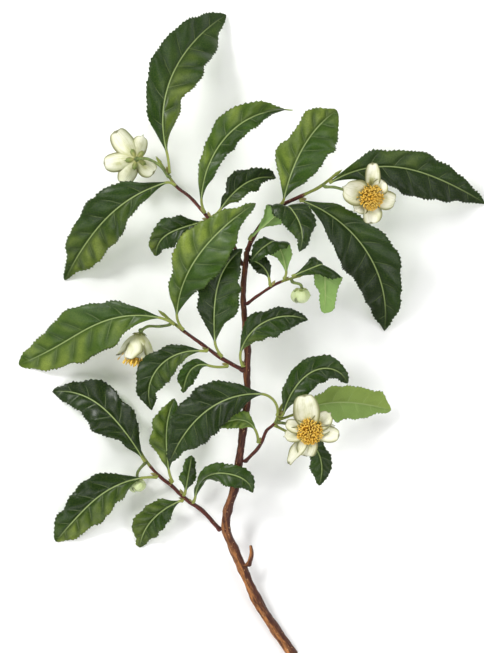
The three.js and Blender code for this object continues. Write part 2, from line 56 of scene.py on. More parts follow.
MIDDLE = np.array([9.48, -7.43, 0.0])  # middle of the branch in plan
UP = np.array([0.0, 0.0, 1.0])
TABLE_EASE = 2.0  # how softly a piece that meets the table turns along it

# stem and twigs
CLEAR = 0.45  # space that the solids leave at the foot of each twig and stalk
MARKS = 400  # steps in which a limb's length is measured
NODE_SWELL = 0.14  # how far a limb thickens at a node, as a share of its radius
NODE_LENGTH = 4.0
FLARE = 0.22  # how far a twig thickens towards its foot
FLARE_LENGTH = 1.6
SUNK_FOOT = ((CLEAR + 1.6, 1.55), (CLEAR + 0.5, 1.45), (CLEAR * 0.2, 1.25))  # depth, width
TOP_FOOT = 1.62  # radius of the top twig's foot, inside the stem's tip
GREENING = 0.35  # nodes over which bark turns to green skin, each way
BARK_FORMS = {"main_stem": (40, 1.5, 1.5), "dead_stub": (28, 1.3, 1.5)}  # sides, relief, furrows
TWIG_FORM = (24, 0.9, 1.2)
FULL_RELIEF = 1.6  # radius from which bark has its full relief
TIP_BUD = 9.0
TIP_BUD_FORM = ((0.0, 1.0), (0.25, 1.25), (0.5, 1.35), (0.8, 0.75), (1.0, 0.05))  # share, width
TIP_BUD_STEPS = 16
LENTICELS = {"bark": (26000.0, 0.00034), "twig_bark": (50000.0, 0.00022)}  # per m2, radius in m
AXIL_BUD_FORM = ((-0.0008, 0.0005), (0.0, 0.00085), (0.0009, 0.00105), (0.0019, 0.0009),
                 (0.0028, 0.0005), (0.0034, 0.00008))  # height, radius in m

# leaves
LEAF_THICK = 0.011  # a blade's thickness as a share of its length
LEAST_THICK = 0.7
BLADE_SHARE = 0.55  # what the blade keeps of its solid's thickness
PETIOLE_RADIUS = 0.95
PETIOLE_STEP = 0.9
PETIOLE_FOOT = ((CLEAR + 0.9, 1.35), (CLEAR * 0.3, 1.3))  # depth, width
CREASE_RADIUS = 2.6  # a blade folds over round this
CREASED_STEPS = 22  # a crease stands at a whole number of these along its blade
WIDEST = 0.47  # where along a blade it is widest
BASE_PINCH = 1.25  # how slim a blade's base is
FULL_WIDTH = 14  # half width from which a blade has its full lobes, quilting and teeth
LOBES = 4.6  # how often the edge bays in and out along a blade
ARCH = math.tan(math.radians(10))  # how steeply each half rises from the midrib
ARCH_FALL = 0.62  # how far it falls again by its edge
WAVES = 3  # waves of each edge along a blade
RIGHT_LAG = 1.7  # how far the right half's waves lag behind the left's
CHANCES = 61  # how many teeth have a length of their own before the lengths come again

# blooms and buds
PETAL_WIDEST = 0.6
PETAL_CUP = 0.35
PETAL_FOOT = 1.5  # radius of the ring that petals and sepals stand on
PETAL_NARROW = 0.35  # a petal's width at its foot
PETAL_TWIST = 75  # greatest twist, in degrees, of a petal narrower than SLENDER of its length
BROAD_TWIST = 12
SLENDER = 0.55
PETAL_CURL = 16  # degrees by which a petal's tip curls back, times its own curl
PETAL_RUFFLE = 0.9
PETAL_DENT = 1.3  # depth of the notch in a petal's tip, times its own notch
PETAL_TIPS = (0.8, -1.5, 0.2, -0.8)  # notched where above nought, pointed where below
SEPALS = 5
SEPAL_THICK = 0.6
PEDICEL_RADIUS = 1.3
PEDICEL_SLIM = 0.72  # a flower stalk's share of the radius that its solid has
STALK_FORM = (16, 0.9, 0.10, 1.2)  # sides, step, relief, furrows
RECEPTACLE = (1.8, 2.1, 1.6, 1.2)  # how a flower stalk swells under its bloom, from its end back
BUD_SLIM = 0.88  # a bud's share of the radius that its solid has
CUSHION = (0.0026, 0.0012, 0.0008)  # radius, height and fall, in m, of what the stamens stand on

STEM_NODES = (
    (36, -231, 3.75), (23, -212, 5), (10, -191, 8), (0.5, -170, 11), (-5.5, -156, 14),
    (-11, -142, 17), (-10, -128, 20.5), (-5.5, -114, 25), (-2, -93.5, 31.5), (1, -72, 37),
    (3.5, -51, 43), (3.5, -30.5, 48), (4, -16, 51), (2.5, -2, 53.5), (1, 16, 56),
    (1, 30, 58), (3.5, 52, 60.5),
)
TOP_NODES = ((7.5, 62, 61.5), (16, 74, 62.5), (27, 84, 63), (40.5, 90.5, 62.5),
             (54.5, 97.5, 60.5), (63, 104, 58.5))

# name: (stem node, heading, climb, own nodes, base radius, tip radius, node where green bark starts)
SIDE_TWIGS = {
    "twig_upper_left": (15.6, 136, -14, (
        (-10, 64, 55), (-23.5, 76, 51), (-36, 90, 46.5), (-46, 98, 43.5), (-55.5, 112, 39.5)),
        1.4, 0.9, 4.2),
    "twig_middle_left": (11, 158, -6, (
        (-14.5, -22, 46), (-29, -11.5, 44), (-41, -3, 42), (-52, 6, 39)), 1.5, 0.9, 3.1),
    "twig_middle_right": (14, 12, 0, (
        (9.5, 20.5, 56), (20, 27.5, 55), (25.5, 30.5, 54.5), (36, 34, 52.5)), 1.1, 0.8, 3.2),
    "twig_lower_right": (8, 32, 8, (
        (11, -85, 34.5), (14.5, -79, 37), (17, -73, 39), (23, -67.5, 42), (25.5, -61, 44)),
        1.3, 0.9, 4.0),
    "twig_lower_left": (5, 140, -4, (
        (-29, -128, 15.5), (-36.5, -123, 14.8), (-43, -117.5, 14), (-50, -111, 13.2),
        (-56, -106.5, 12.5), (-64, -98.5, 11.5), (-69, -91.5, 11)), 1.6, 0.9, 6.1),
}
TOP_GREEN = 4.2  # node of the top twig where green bark starts
DEAD_STUB = (3.1, 52, 14, 1.8)  # stem node, heading, climb, base radius
MAROON = (-92, -188)  # the stem's bark is maroon up from the first y, tan down from the second

# name: (limb, node, finish, form). stalk is (length, heading, climb), blade is (length, left half,
# right half). heading, climb and roll are degrees at even steps along the blade. crease is (share of
# the blade, slant, turn). Longer stretches the blade of the solid. Above 1, tip and base make an end
# slimmer. The tone entry is painted light and shade, by how each half catches the light: it runs from
# -1, painted shade nearly black, to 1, lit yellow-green: left base and tip, right base and tip.
LEAVES = {
    "leaf_upper_left_1": ("twig_upper_left", 4.6, "deep", dict(
        stalk=(17, 92, 14), blade=(126, 17.5, 17.5), heading=(104, 62, 32), climb=(18, -30, -39),
        roll=(0, 10, 10),
        tip=0.72, painted_light_and_tone=(0.1, -0.5, 0.5, -0.3))),
    "leaf_upper_left_2": ("twig_upper_left", 4, "deep", dict(
        stalk=(8, 134, 2), blade=(110, 15.5, 16), heading=(197, 228, 244), climb=(3, -31, -36),
        longer=1.035, tip=0.8, painted_light_and_tone=(-0.1, 0.5, -0.35, 0.15))),
    "leaf_upper_left_3": ("twig_upper_left", 2.2, "mid", dict(
        stalk=(11, 120, 24), blade=(103, 11, 9.5), heading=(87, 45, -6), climb=(16, -15, -20),
        roll=(0, 0, 0, 20, 120), wave=1.8,
        tip=0.72, painted_light_and_tone=(0.15, 0.35, -0.4, -0.1))),
    "leaf_upper_left_4": ("twig_upper_left", 1.9, "deep", dict(
        stalk=(9, 30, 10), blade=(49, 10.5, 8), heading=(58, 32, -14), climb=(4, -17, -27),
        tip=0.85, painted_light_and_tone=(-0.5, -0.8, 0.2, -0.6))),
    "leaf_upper_left_5": ("twig_upper_left", 1.9, "deep", dict(
        stalk=(5.5, 172, -8), blade=(46, 9.5, 9.5), heading=(194, 209, 278), climb=(2, -21, -38),
        tip=0.7, painted_light_and_tone=(-0.4, -0.2, -0.7, 0.5))),
    "leaf_top_right_1": ("twig_top_right", 3, "mid", dict(
        stalk=(6, 42, 28), blade=(78, 13.5, 18), heading=(78, 60, 35), climb=(11, -22, -26),
        roll=(0, 4, 4),
        tip=0.6, painted_light_and_tone=(0.35, 0.6, -0.5, 0.35))),
    "leaf_top_right_2": ("twig_top_right", 5.6, "deep", dict(
        stalk=(2, 20, 6), blade=(132, 12, 16), heading=(31, -15, -32), climb=(-10, -31, -37),
        tip=0.85, painted_light_and_tone=(0.1, -0.35, -0.5, -0.75))),
    "leaf_top_right_3": ("twig_top_right", 3.9, "deep", dict(
        stalk=(3, 10, -8), blade=(132, 17, 19), heading=(-21, -59, -98), climb=(-13, -31, -36),
        roll=(0, 4, 4),
        tip=0.85, painted_light_and_tone=(0, -0.4, -0.15, -0.95))),
    "leaf_top_right_4": ("twig_top_right", 0.8, "deep", dict(
        stalk=(4, 80, 30), blade=(70, 11.5, 11.5), heading=(38, 50, 114), climb=(26, 4, 10),
        roll=(245, 190, 180), crease=(0.4, 46, 160),
        base=2.7, tip=0.85, painted_light_and_tone=(-0.5, -0.6, -0.3, -0.1))),
    "leaf_middle_left_1": ("twig_middle_left", 3, "mid", dict(
        stalk=(14, 136, 12), blade=(106, 15.5, 17.5), heading=(86, 53, 31), climb=(38, 18, -24),
        wave=1.8,
        tip=0.85, painted_light_and_tone=(0.45, 0.35, -0.2, 0.15))),
    "leaf_middle_left_2": ("twig_middle_left", 1, "deep", dict(
        stalk=(13, 134, 19), blade=(72, 11.5, 15.5), heading=(95, 79, 36), climb=(22, 12, -10),
        tip=0.8, painted_light_and_tone=(-0.55, -0.5, 0, -0.3))),
    "leaf_middle_left_3": ("twig_middle_left", 3.5, "mid", dict(
        stalk=(12.5, 144, 8), blade=(112, 18, 16), heading=(169, 209, 202), climb=(-2, -32, -24),
        longer=1.05, tip=0.62, painted_light_and_tone=(0.1, 0.5, -0.5, 0.4))),
    "leaf_middle_left_4": ("twig_middle_left", 1.6, "deep", dict(
        stalk=(5.5, 184, 26), blade=(69, 10.5, 10.5), heading=(176, 232, 294),
        climb=(-3, -24, -28),
        tip=0.85, painted_light_and_tone=(0.15, -0.1, -0.6, -0.3))),
    "leaf_middle_left_5": ("twig_middle_left", 0.6, "mid", dict(
        stalk=(14.5, 192, -4), blade=(32, 5.5, 5.5), heading=(162, 240, 264),
        climb=(-8, -21, -25),
        tip=0.75, painted_light_and_tone=(-0.3, -0.1, -0.5, 0.1))),
    "leaf_on_stem": ("main_stem", 11.2, "deep", dict(
        stalk=(13, 118, 28), blade=(61, 7.5, 11), heading=(74, 23, -24), climb=(29, -8, -31),
        roll=(0, 4, 4),
        tip=0.85, painted_light_and_tone=(0.1, -0.85, 0.35, -0.5))),
    "leaf_middle_right_1": ("twig_middle_right", 2.05, "deep", dict(
        stalk=(5.5, 95, 23), blade=(22, 5, 5.5), heading=(103, 144, 168), climb=(6, -7, -13),
        tip=0.85, painted_light_and_tone=(-0.8, -0.9, -0.8, -0.9))),
    "leaf_middle_right_2": ("twig_middle_right", 3.4, "deep", dict(
        stalk=(6, 50, 20), blade=(48, 9, 6), heading=(98, 116, 84), climb=(4, 2, 2),
        roll=(180, 180, 180), crease=(0.35, -48, 165),
        tip=0.85, painted_light_and_tone=(-0.4, 0, -0.6, 0.1))),
    "leaf_middle_right_3": ("twig_middle_right", 3.9, "mid", dict(
        stalk=(3, 25, 0), blade=(58, 7, 10.5), heading=(24, 20, 28), climb=(10, -6, -10),
        crease=(0.25, -55, 150),
        tip=0.4, painted_light_and_tone=(-0.6, -0.6, -0.5, -0.5))),
    "leaf_lower_right_1": ("twig_lower_right", 4.9, "deep", dict(
        stalk=(4, 30, 20), blade=(69, 9, 9.5), heading=(77, 32, -71), climb=(31, -9, -33),
        roll=(0, -4, -4),
        tip=0.7, painted_light_and_tone=(0.1, -0.1, 0.35, -0.7))),
    "leaf_lower_right_2": ("twig_lower_right", 4.5, "fresh", dict(
        stalk=(15.5, 14, -8), blade=(73, 12, 13), heading=(26, -3, -16), climb=(-11, -29, -29),
        roll=(180, 180, 180),
        tip=0.6, painted_light_and_tone=(0.12, 0.16, 0.22, 0.26))),
    "leaf_lower_right_3": ("twig_lower_right", 3.85, "mid", dict(
        stalk=(19, -30, -20), blade=(46, 7.5, 7.5), heading=(-18, -72, -112),
        climb=(-16, -24, -30),
        tip=0.75, painted_light_and_tone=(-0.7, -0.7, -0.4, -0.2))),
    "leaf_lower_right_4": ("twig_lower_right", 4.9, "deep", dict(
        stalk=(24, 76, 32), blade=(92, 15, 15), heading=(176, 221, 250), climb=(22, -24, -21),
        tip=0.8, painted_light_and_tone=(-0.85, -0.15, -0.6, -0.6))),
    "leaf_lower_right_5": ("twig_lower_right", 1.6, "fresh", dict(
        stalk=(12.5, 88, 35), blade=(30, 5.5, 5.5), heading=(122, 184, 222),
        climb=(30, 2, -16),
        tip=0.85, painted_light_and_tone=(0.5, 0.3, 0.2, 0.3))),
    "leaf_lower_left_1": ("twig_lower_left", 6.6, "deep", dict(
        stalk=(5, 128, 6), blade=(85, 15.5, 15.5), heading=(120, 139, 188), climb=(12, -14, -26),
        tip=0.8, painted_light_and_tone=(-0.3, -0.6, -0.5, -0.95))),
    "leaf_lower_left_2": ("twig_lower_left", 5.3, "deep", dict(
        stalk=(12, 176, 14), blade=(78, 13.5, 13.5), heading=(190, 222, 231),
        climb=(2, -15, -18),
        tip=0.62, painted_light_and_tone=(0, 0.55, -0.5, 0.1))),
    "leaf_lower_left_3": ("twig_lower_left", 4, "mid", dict(
        stalk=(10.5, 115, 8), blade=(52, 10.5, 10.5), heading=(98, 88, 64), climb=(24, 14, 0),
        tip=0.75, painted_light_and_tone=(0.6, 0.3, -0.4, -0.3))),
    "leaf_lower_left_4": ("twig_lower_left", 2.75, "mid", dict(
        stalk=(4, 70, 30), blade=(25, 5, 5), heading=(80, 80, 80), climb=(26, 8, -4),
        tip=0.7, painted_light_and_tone=(0.3, 0.2, -0.5, -0.3))),
    "leaf_lower_left_5": ("twig_lower_left", 1.75, "mid", dict(
        stalk=(5, 60, 30), blade=(60, 7.5, 7.5), heading=(85, 45, 0, -26, -84),
        climb=(24, 36, 14, 0, -34), roll=(0, 70, 10, 0, 0),
        tip=0.75, painted_light_and_tone=(0.3, -0.5, 0.1, -0.6))),
    "leaf_lower_left_6": ("twig_lower_left", 2.5, "deep", dict(
        stalk=(3, 175, 2), blade=(47, 8.5, 9.5), heading=(203, 228, 264), climb=(-8, -20, -22),
        tip=0.6, painted_light_and_tone=(-0.2, 0.2, 0.1, 0.55))),
}

# A petal is (turn, length, width, opens from, opens to), stamens are (count, length, spread in
# radians), and sepals are (length, width). The flower stalk leaves its limb along leaves, which is
# (heading, climb), and runs through path.
BLOOMS = {
    "bloom_upper_left": dict(
        at=(-74, 117, 34), faces=(180, -84), limb="twig_upper_left", node=4.5, leaves=(190, 75),
        path=((-57, 112, 47), (-66, 117, 44), (-74, 117, 34.5)),
        petals=((-125, 24, 16, 60, 88), (-72, 17, 12, 50, 80), (172, 22, 14, 62, 86),
                (118, 19, 13, 60, 80), (36, 15, 14, 70, 94)),
        stamens=(60, 5.5, 0.5), sepals=(6.2, 3.9)),
    "bloom_middle_left": dict(
        at=(-71.5, -5, 26), faces=(-95, -8), limb="twig_middle_left", node=3.7, leaves=(215, -20),
        path=((-58, 0, 34), (-66, 0, 30), (-71.5, -3.5, 26.5)),
        petals=((10, 21, 17, 60, -6), (70, 19, 17, 60, -8), (130, 21, 17, 62, -4),
                (190, 22, 16, 64, 8), (250, 20, 17, 60, -4), (310, 20, 17, 60, -6)),
        stamens=(150, 19.5, 0.34), sepals=(2.8, 2.8)),
    "bloom_lower_right": dict(
        at=(47.5, -72.5, 47), faces=(250, 80), limb="twig_lower_right", node=4.25,
        leaves=(-10, 24), path=((32, -68, 43.5), (41, -71, 42), (47.5, -72.5, 46)),
        petals=((98, 27, 19, 60, 82), (42, 18, 13, 60, 96), (-8, 20, 12, 66, 92),
                (-98, 17, 15, 70, 96), (-122, 27, 10, 74, 98), (192, 17, 11, 64, 86),
                (158, 18, 10, 56, 76), (14, 17, 8, 60, 84)),
        stamens=(390, 7.6, 1.0), sepals=(4.4, 3.4)),
    "bloom_top_right": dict(
        at=(88, 90.5, 66), faces=(-20, 62), limb="twig_top_right", node=5.2, leaves=(-12, 26),
        path=((64, 97, 63), (70, 95.5, 64), (78, 92.5, 64.5), (87.5, 90.5, 65)),
        petals=((88, 24, 11, 66, 84), (158, 22, 19, 70, 84), (54, 15, 13, 50, 70),
                (-12, 18, 14, 56, 74), (-92, 18, 15, 60, 84), (-146, 14, 13, 66, 84)),
        stamens=(350, 8.0, 0.9), sepals=(4.4, 3.4)),
}
BUDS = {
    "bud_middle_right": dict(
        at=(41, 20, 47), faces=(-85, -10), radius=6.2, limb="twig_middle_right", node=3.85,
        leaves=(-50, -20), path=((41, 29, 49.5), (42, 23, 47.5))),
    "bud_lower_left": dict(
        at=(-73, -113, 8), faces=(-80, 0), radius=5.2, limb="twig_lower_left", node=6.5,
        leaves=(225, -16), path=((-73, -102, 8.4), (-73.5, -109, 8))),
}


# ---------------------------------------------------------------- settings


def colour(name, description, default):
    return bpy.props.FloatVectorProperty(
        name=name, description=description, subtype="COLOR", size=3, min=0, max=1, default=default)


def length(name, description, default):
    return bpy.props.FloatProperty(
        name=name, description=description, default=default, min=0, subtype="DISTANCE",
        unit="LENGTH")


class WoodSettings(bpy.types.PropertyGroup):
    old_bark: colour("Old bark", "Tan bark of the lower stem", (0.43, 0.175, 0.048))
    # The dark bark colour also paints the shade down one side of each limb.
    dark_bark_and_shade: colour(
        "Dark bark", "Maroon bark in the furrows and up the stem", (0.040, 0.008, 0.005))
    twig_bark: colour("Twig bark", "Red-brown bark of the side twigs", (0.115, 0.018, 0.009))
    shoot: colour("Green shoot", "Skin of the youngest shoots", (0.22, 0.26, 0.045))
    ridge: length("Bark relief", "How far the bark's ridges stand proud", 0.00028)
    step: length("Facet", "Length of one facet along a limb", 0.0007)


class LeafSettings(bpy.types.PropertyGroup):
    deep: colour("Deep green", "Skin of the old glossy leaves", (0.018, 0.046, 0.0045))
    mid: colour("Middle green", "Skin of the middling leaves", (0.034, 0.078, 0.008))
    fresh: colour("Fresh green", "Skin of the young leaves", (0.075, 0.150, 0.024))
    # painted light: the yellow-green of a blade where it is lit between its veins, also used for its
    # faint vein net
    flush: colour(
        "Flush", "Yellow-green where a blade is lit between its veins", (0.240, 0.305, 0.048))
    vein: colour("Vein", "Midrib and side veins", (0.30, 0.38, 0.14))
    under: colour("Underside", "Pale underside of a blade", (0.205, 0.335, 0.090))
    tooth_pitch: length("Tooth pitch", "Length of one tooth of a leaf's edge", 0.0032)
    tooth_depth: length("Tooth depth", "How far a tooth stands out of the edge", 0.00085)
    quilt: length("Quilting", "How far a blade swells between its side veins", 0.0011)
    lobe: length("Lobing", "How far the edge of a long leaf bays in and out", 0.0036)
    frill: length("Frill", "How far the edge of a long leaf waves up and down", 0.0027)
    vein_pairs: bpy.props.IntProperty(
        name="Vein pairs", description="Pairs of side veins in a long leaf", default=7, min=3,
        max=14)
    half_samples: bpy.props.IntProperty(
        name="Samples", description="Mesh columns in half a blade", default=17, min=6, max=30)


class BloomSettings(bpy.types.PropertyGroup):
    petal: colour("Petal", "Creamy white of the petals", (0.80, 0.79, 0.64))
    petal_shade: colour(
        "Petal shade", "Olive at a petal's foot, heart and rim", (0.36, 0.37, 0.09))
    filament: colour("Filament", "Stalks of the stamens", (0.80, 0.58, 0.12))
    anther: colour("Anther", "Golden heads of the stamens", (0.84, 0.51, 0.045))
    bud: colour("Bud", "Pale green-white of the closed buds", (0.56, 0.63, 0.36))
    sepal: colour("Sepal", "Green of the sepals and flower stalks", (0.13, 0.19, 0.035))
    petal_thickness: length("Petal thickness", "Thickness of a petal", 0.0006)
    filament_radius: length("Filament radius", "Radius of a stamen's stalk", 0.00017)
    anther_size: length("Anther size", "Radius of a stamen's head", 0.00046)


class StageSettings(bpy.types.PropertyGroup):
    floor: colour("Table", "Plain pale table", (0.97, 0.97, 0.965))
    lens: bpy.props.FloatProperty(
        name="Lens", description="Focal length in millimetres", default=600, min=50, max=1200)
    view_height: length("View height", "Height of what the camera sees", 0.4557)
    key: bpy.props.FloatProperty(name="Key light", description="Watts", default=15, min=0)
    fill: bpy.props.FloatProperty(
        name="Fill lights", description="Watts per square metre each", default=0.62, min=0)
    fills: bpy.props.IntProperty(
        name="Number of fill lights", description="They stand in a ring", default=7, min=1, max=12)
    sky: bpy.props.FloatProperty(name="Room light", description="Strength", default=0.16, min=0)


# ---------------------------------------------------------------- directions and laws


def aim(heading, climb):
    turn, rise = math.radians(heading), math.radians(climb)
    return np.array([math.cos(turn) * math.cos(rise), math.sin(turn) * math.cos(rise),
                     math.sin(rise)])


def unit(vector):
    return vector / np.linalg.norm(vector)


def lerp(a, b, t):
    return a + (b - a) * t


def smooth(low, high, value):
    t = np.clip((value - low) / (high - low), 0, 1)
    return t * t * (3 - 2 * t)


def along(values, t):
    """The value at t on a smooth curve through evenly spaced values."""
    last = len(values) - 1
    i = min(int(math.floor(t * last)), last - 1)
    u = t * last - i
    before = values[i - 1] if i > 0 else 2 * values[0] - values[1]
    after = values[i + 2] if i + 2 <= last else 2 * values[last] - values[last - 1]
    here, following = values[i], values[i + 1]
    slope = following - before
    bend = 2 * before - 5 * here + 4 * following - after
    twist = 3 * here - before - 3 * following + after
    return here + 0.5 * u * (slope + u * (bend + u * twist))


def on_table(z, floor):
    """Keeps heights above the table, and eases them into it."""
    return (z + floor + np.hypot(z - floor, TABLE_EASE)) / 2


def turned(vector, axis, degrees):
    angle = math.radians(degrees)
    return (vector * math.cos(angle) + np.cross(axis, vector) * math.sin(angle)
            + axis * np.dot(axis, vector) * (1 - math.cos(angle)))


def blade_frame(forward, roll=0.0):
    across = unit(np.cross(forward, UP))
    normal = np.cross(across, forward)
    return turned(across, forward, roll), turned(normal, forward, roll)


class Limb:
    """A limb runs through its nodes on a centripetal curve and tapers evenly."""

    def __init__(self, nodes, base, tip):
        self.nodes = np.array(nodes, float)
        self.base, self.tip = base, tip
        self.last = len(nodes) - 1
        marks = [self.point(i / MARKS) for i in range(MARKS + 1)]
        steps = [np.linalg.norm(b - a) for a, b in zip(marks, marks[1:])]
        self.lengths = np.concatenate([[0.0], np.cumsum(steps)])
        self.length = self.lengths[-1]
        self.marks = [self.share(i) for i in range(self.last + 1)]

    def point(self, t):
        p = self.nodes
        place = t * self.last
        i = min(int(math.floor(place)), self.last - 1)
        w = place - i
        before = p[i - 1] if i > 0 else 2 * p[0] - p[1]
        after = p[i + 2] if i + 2 <= self.last else 2 * p[-1] - p[-2]
        here, following = p[i], p[i + 1]
        d0 = np.sum((here - before) ** 2) ** 0.25
        d1 = np.sum((following - here) ** 2) ** 0.25
        d2 = np.sum((after - following) ** 2) ** 0.25
        m1 = ((here - before) / d0 - (following - before) / (d0 + d1) + (following - here) / d1) * d1
        m2 = ((following - here) / d1 - (after - here) / (d1 + d2) + (after - following) / d2) * d1
        c2 = -3 * here + 3 * following - 2 * m1 - m2
        c3 = 2 * here - 2 * following + m1 + m2
        return here + w * (m1 + w * (c2 + w * c3))

    def tangent(self, t):
        low, high = max(t - 1e-4, 0.0), min(t + 1e-4, 1.0)
        return unit(self.point(high) - self.point(low))

    def share(self, node):
        at = node / self.last * MARKS
        return float(np.interp(at, range(MARKS + 1), self.lengths) / self.length)

    def radius(self, node):
        share = self.share(node)
        swell = 0.0
        for mark in self.marks[1:-1]:
            away = (share - mark) * self.length / NODE_LENGTH
            swell = max(swell, NODE_SWELL * math.exp(-away * away))
        return lerp(self.base, self.tip, share) * (1 + swell)

    def foot(self, node, heading, climb, radius):
        """Where something that leaves at a node starts, and the way from the limb to it."""
        forward = self.tangent(node / self.last)
        direction = aim(heading, climb)
        lean = float(np.dot(forward, direction))
        aside = unit(direction - lean * forward)
        reach = self.radius(node) + CLEAR + radius * abs(lean)
        return self.point(node / self.last) + aside * reach, aside


def grow_limbs():
    limbs = {"main_stem": Limb(STEM_NODES, 3.7, 1.7)}
    stem = limbs["main_stem"]
    onward = stem.point(1) + stem.tangent(1) * 2 * CLEAR
    limbs["twig_top_right"] = Limb((tuple(onward),) + TOP_NODES, 1.7, 0.9)
    for name, (node, heading, climb, nodes, base, tip, _) in SIDE_TWIGS.items():
        start, _ = stem.foot(node, heading, climb, base)
        limbs[name] = Limb((tuple(start),) + nodes, base, tip)
    start, _ = stem.foot(*DEAD_STUB)
    base = DEAD_STUB[-1]
    limbs["dead_stub"] = Limb((tuple(start), (6.5, -160, 13.5), (6, -153.5, 15.5)), base, 1)
    return limbs


LIMBS = grow_limbs()


# ---------------------------------------------------------------- meshes


def lens_section(stations):
    """Round a thin lens, from stations between -1 and 1: sides, which are on top, and heights."""
    side = np.concatenate([stations, stations[::-1][1:-1]])
    on_top = np.arange(len(side)) < len(stations)
    return side, on_top, np.sqrt(np.maximum(0, 1 - side ** 2)) * np.where(on_top, 1, -1)


def strip_edges(k, count, wrap_at):
    """Left and right of face k in the map. A wrapped skin has its lower side beside its upper."""
    if not wrap_at:
        return lerp(0.01, 0.99, k / count), lerp(0.01, 0.99, (k + 1) / count)
    if k < wrap_at:
        return lerp(0.01, 0.49, k / wrap_at), lerp(0.01, 0.49, (k + 1) / wrap_at)
    rest = count - wrap_at
    return lerp(0.51, 0.99, (k - wrap_at) / rest), lerp(0.51, 0.99, (k + 1 - wrap_at) / rest)


def ring_mesh(name, rings, values, wrap_at=None):
    """A closed skin over rings of equal count, capped at both ends.

    rings is a list of (n, 3) arrays in millimetres. values is {attribute: list of (n,) arrays}.
    """
    count, rows = len(rings[0]), len(rings)
    points = np.concatenate(rings)
    faces, uvs = [], []
    for i in range(rows - 1):
        low, high = lerp(0.05, 0.99, i / (rows - 1)), lerp(0.05, 0.99, (i + 1) / (rows - 1))
        for k in range(count):
            a, b = i * count + k, i * count + (k + 1) % count
            faces.append((a, b, b + count, a + count))
            left, right = strip_edges(k, count, wrap_at)
            uvs += [(left, low), (right, low), (right, high), (left, high)]
    cap = [(0.02 + 0.015 * math.cos(-2 * math.pi * k / count),
            0.02 + 0.015 * math.sin(-2 * math.pi * k / count)) for k in range(count)]
    faces.append(tuple(range(count))[::-1])
    faces.append(tuple(range((rows - 1) * count, rows * count)))
    uvs += cap + [(u + 0.05, v) for u, v in cap]
    mesh = bpy.data.meshes.new(name)
    mesh.from_pydata((points - MIDDLE) * MM, [], faces)
    layer = mesh.uv_layers.new(name="OFBake")
    layer.data.foreach_set("uv", np.array(uvs, np.float32).ravel())
    for key, parts in values.items():
        attribute = mesh.attributes.new(key, "FLOAT", "POINT")
        attribute.data.foreach_set("value", np.concatenate(parts).astype(np.float32))
    mesh.update()
    return mesh


def lathe(name, profile, sides, bend=0.0):
    """A small turned body along +Z, in metres, from (height, radius) pairs, bent sideways."""
    points, faces = [], [tuple(range(sides))[::-1]]
    for height, radius in profile:
        shift = bend * height * height
        points += [(math.cos(2 * math.pi * k / sides) * radius + shift,
                    math.sin(2 * math.pi * k / sides) * radius, height) for k in range(sides)]
    for i in range(len(profile) - 1):
        for k in range(sides):
            a, b = i * sides + k, i * sides + (k + 1) % sides
            faces.append((a, b, b + sides, a + sides))
    faces.append(tuple(range((len(profile) - 1) * sides, len(profile) * sides)))
    mesh = bpy.data.meshes.new(name)
    mesh.from_pydata(points, [], faces)
    mesh.update()
    return mesh


def points_mesh(name, points, ways):
    mesh = bpy.data.meshes.new(name)
    mesh.from_pydata([tuple(p) for p in points], [], [])
    attribute = mesh.attributes.new("way", "FLOAT_VECTOR", "POINT")
    attribute.data.foreach_set("vector", np.array(ways, np.float32).ravel())
    return mesh


def place(name, mesh):
    thing = bpy.data.objects.new(name, mesh)
    bpy.context.scene.collection.objects.link(thing)
    return thing


def joined(name, meshes):
    """One object out of several meshes, with their attributes kept."""
    objects = [place(f"{name}_{i}", mesh) for i, mesh in enumerate(meshes)]
    with bpy.context.temp_override(
            active_object=objects[0], selected_objects=objects,
            selected_editable_objects=objects, object=objects[0]):
        bpy.ops.object.join()
    objects[0].name = name
    return objects[0]


def pack_uv(meshes):
    """Gives each of several meshes its own square of the shared map."""
    grid = math.ceil(math.sqrt(len(meshes)))
    for index, mesh in enumerate(meshes):
        layer = mesh.uv_layers["OFBake"]
        uv = np.empty(len(layer.data) * 2, np.float32)
        layer.data.foreach_get("uv", uv)
        uv = uv.reshape(-1, 2) / grid + np.array([index % grid, index // grid]) / grid
        layer.data.foreach_set("uv", uv.astype(np.float32).ravel())


def finish_piece(thing, slot, *nodes, material=None):
    if material:
        thing.data.materials.append(material)
    thing.data.shade_smooth()
    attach(thing, "root")
    if nodes:
        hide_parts(*nodes)


def finish_group(name, meshes, slot, *nodes, material):
    pack_uv(meshes)
    finish_piece(joined(name, meshes), slot, *nodes, material=material)


# ---------------------------------------------------------------- growths


class Growth:
    """A short way to wire a geometry-nodes tree with named inputs."""

    def __init__(self, name, **inputs):
        self.tree = bpy.data.node_groups.new(name, "GeometryNodeTree")
        face = self.tree.interface
        face.new_socket("Geometry", in_out="INPUT", socket_type="NodeSocketGeometry")
        for label, default in inputs.items():
            kind = "NodeSocketInt" if isinstance(default, int) else "NodeSocketFloat"
            face.new_socket(label, in_out="INPUT", socket_type=kind).default_value = default
        face.new_socket("Geometry", in_out="OUTPUT", socket_type="NodeSocketGeometry")
        self.given = self.tree.nodes.new("NodeGroupInput").outputs
        self.end = self.tree.nodes.new("NodeGroupOutput")

    def node(self, kind, inputs, **settings):
        """A node's outputs, once its settings are made and its inputs are wired or set."""
        node = self.tree.nodes.new(kind)
        for key, value in settings.items():
            setattr(node, key, value)
        for key, value in inputs.items():
            if isinstance(value, bpy.types.NodeSocket):
                self.tree.links.new(value, node.inputs[key])
            else:
                node.inputs[key].default_value = value
        return node.outputs

    def finish(self, instances, material):
        real = self.node("GeometryNodeRealizeInstances", {0: instances})
        paint = self.node(
            "GeometryNodeSetMaterial", {"Geometry": real[0], "Material": material})
        self.tree.links.new(paint[0], self.end.inputs[0])
        return self.tree


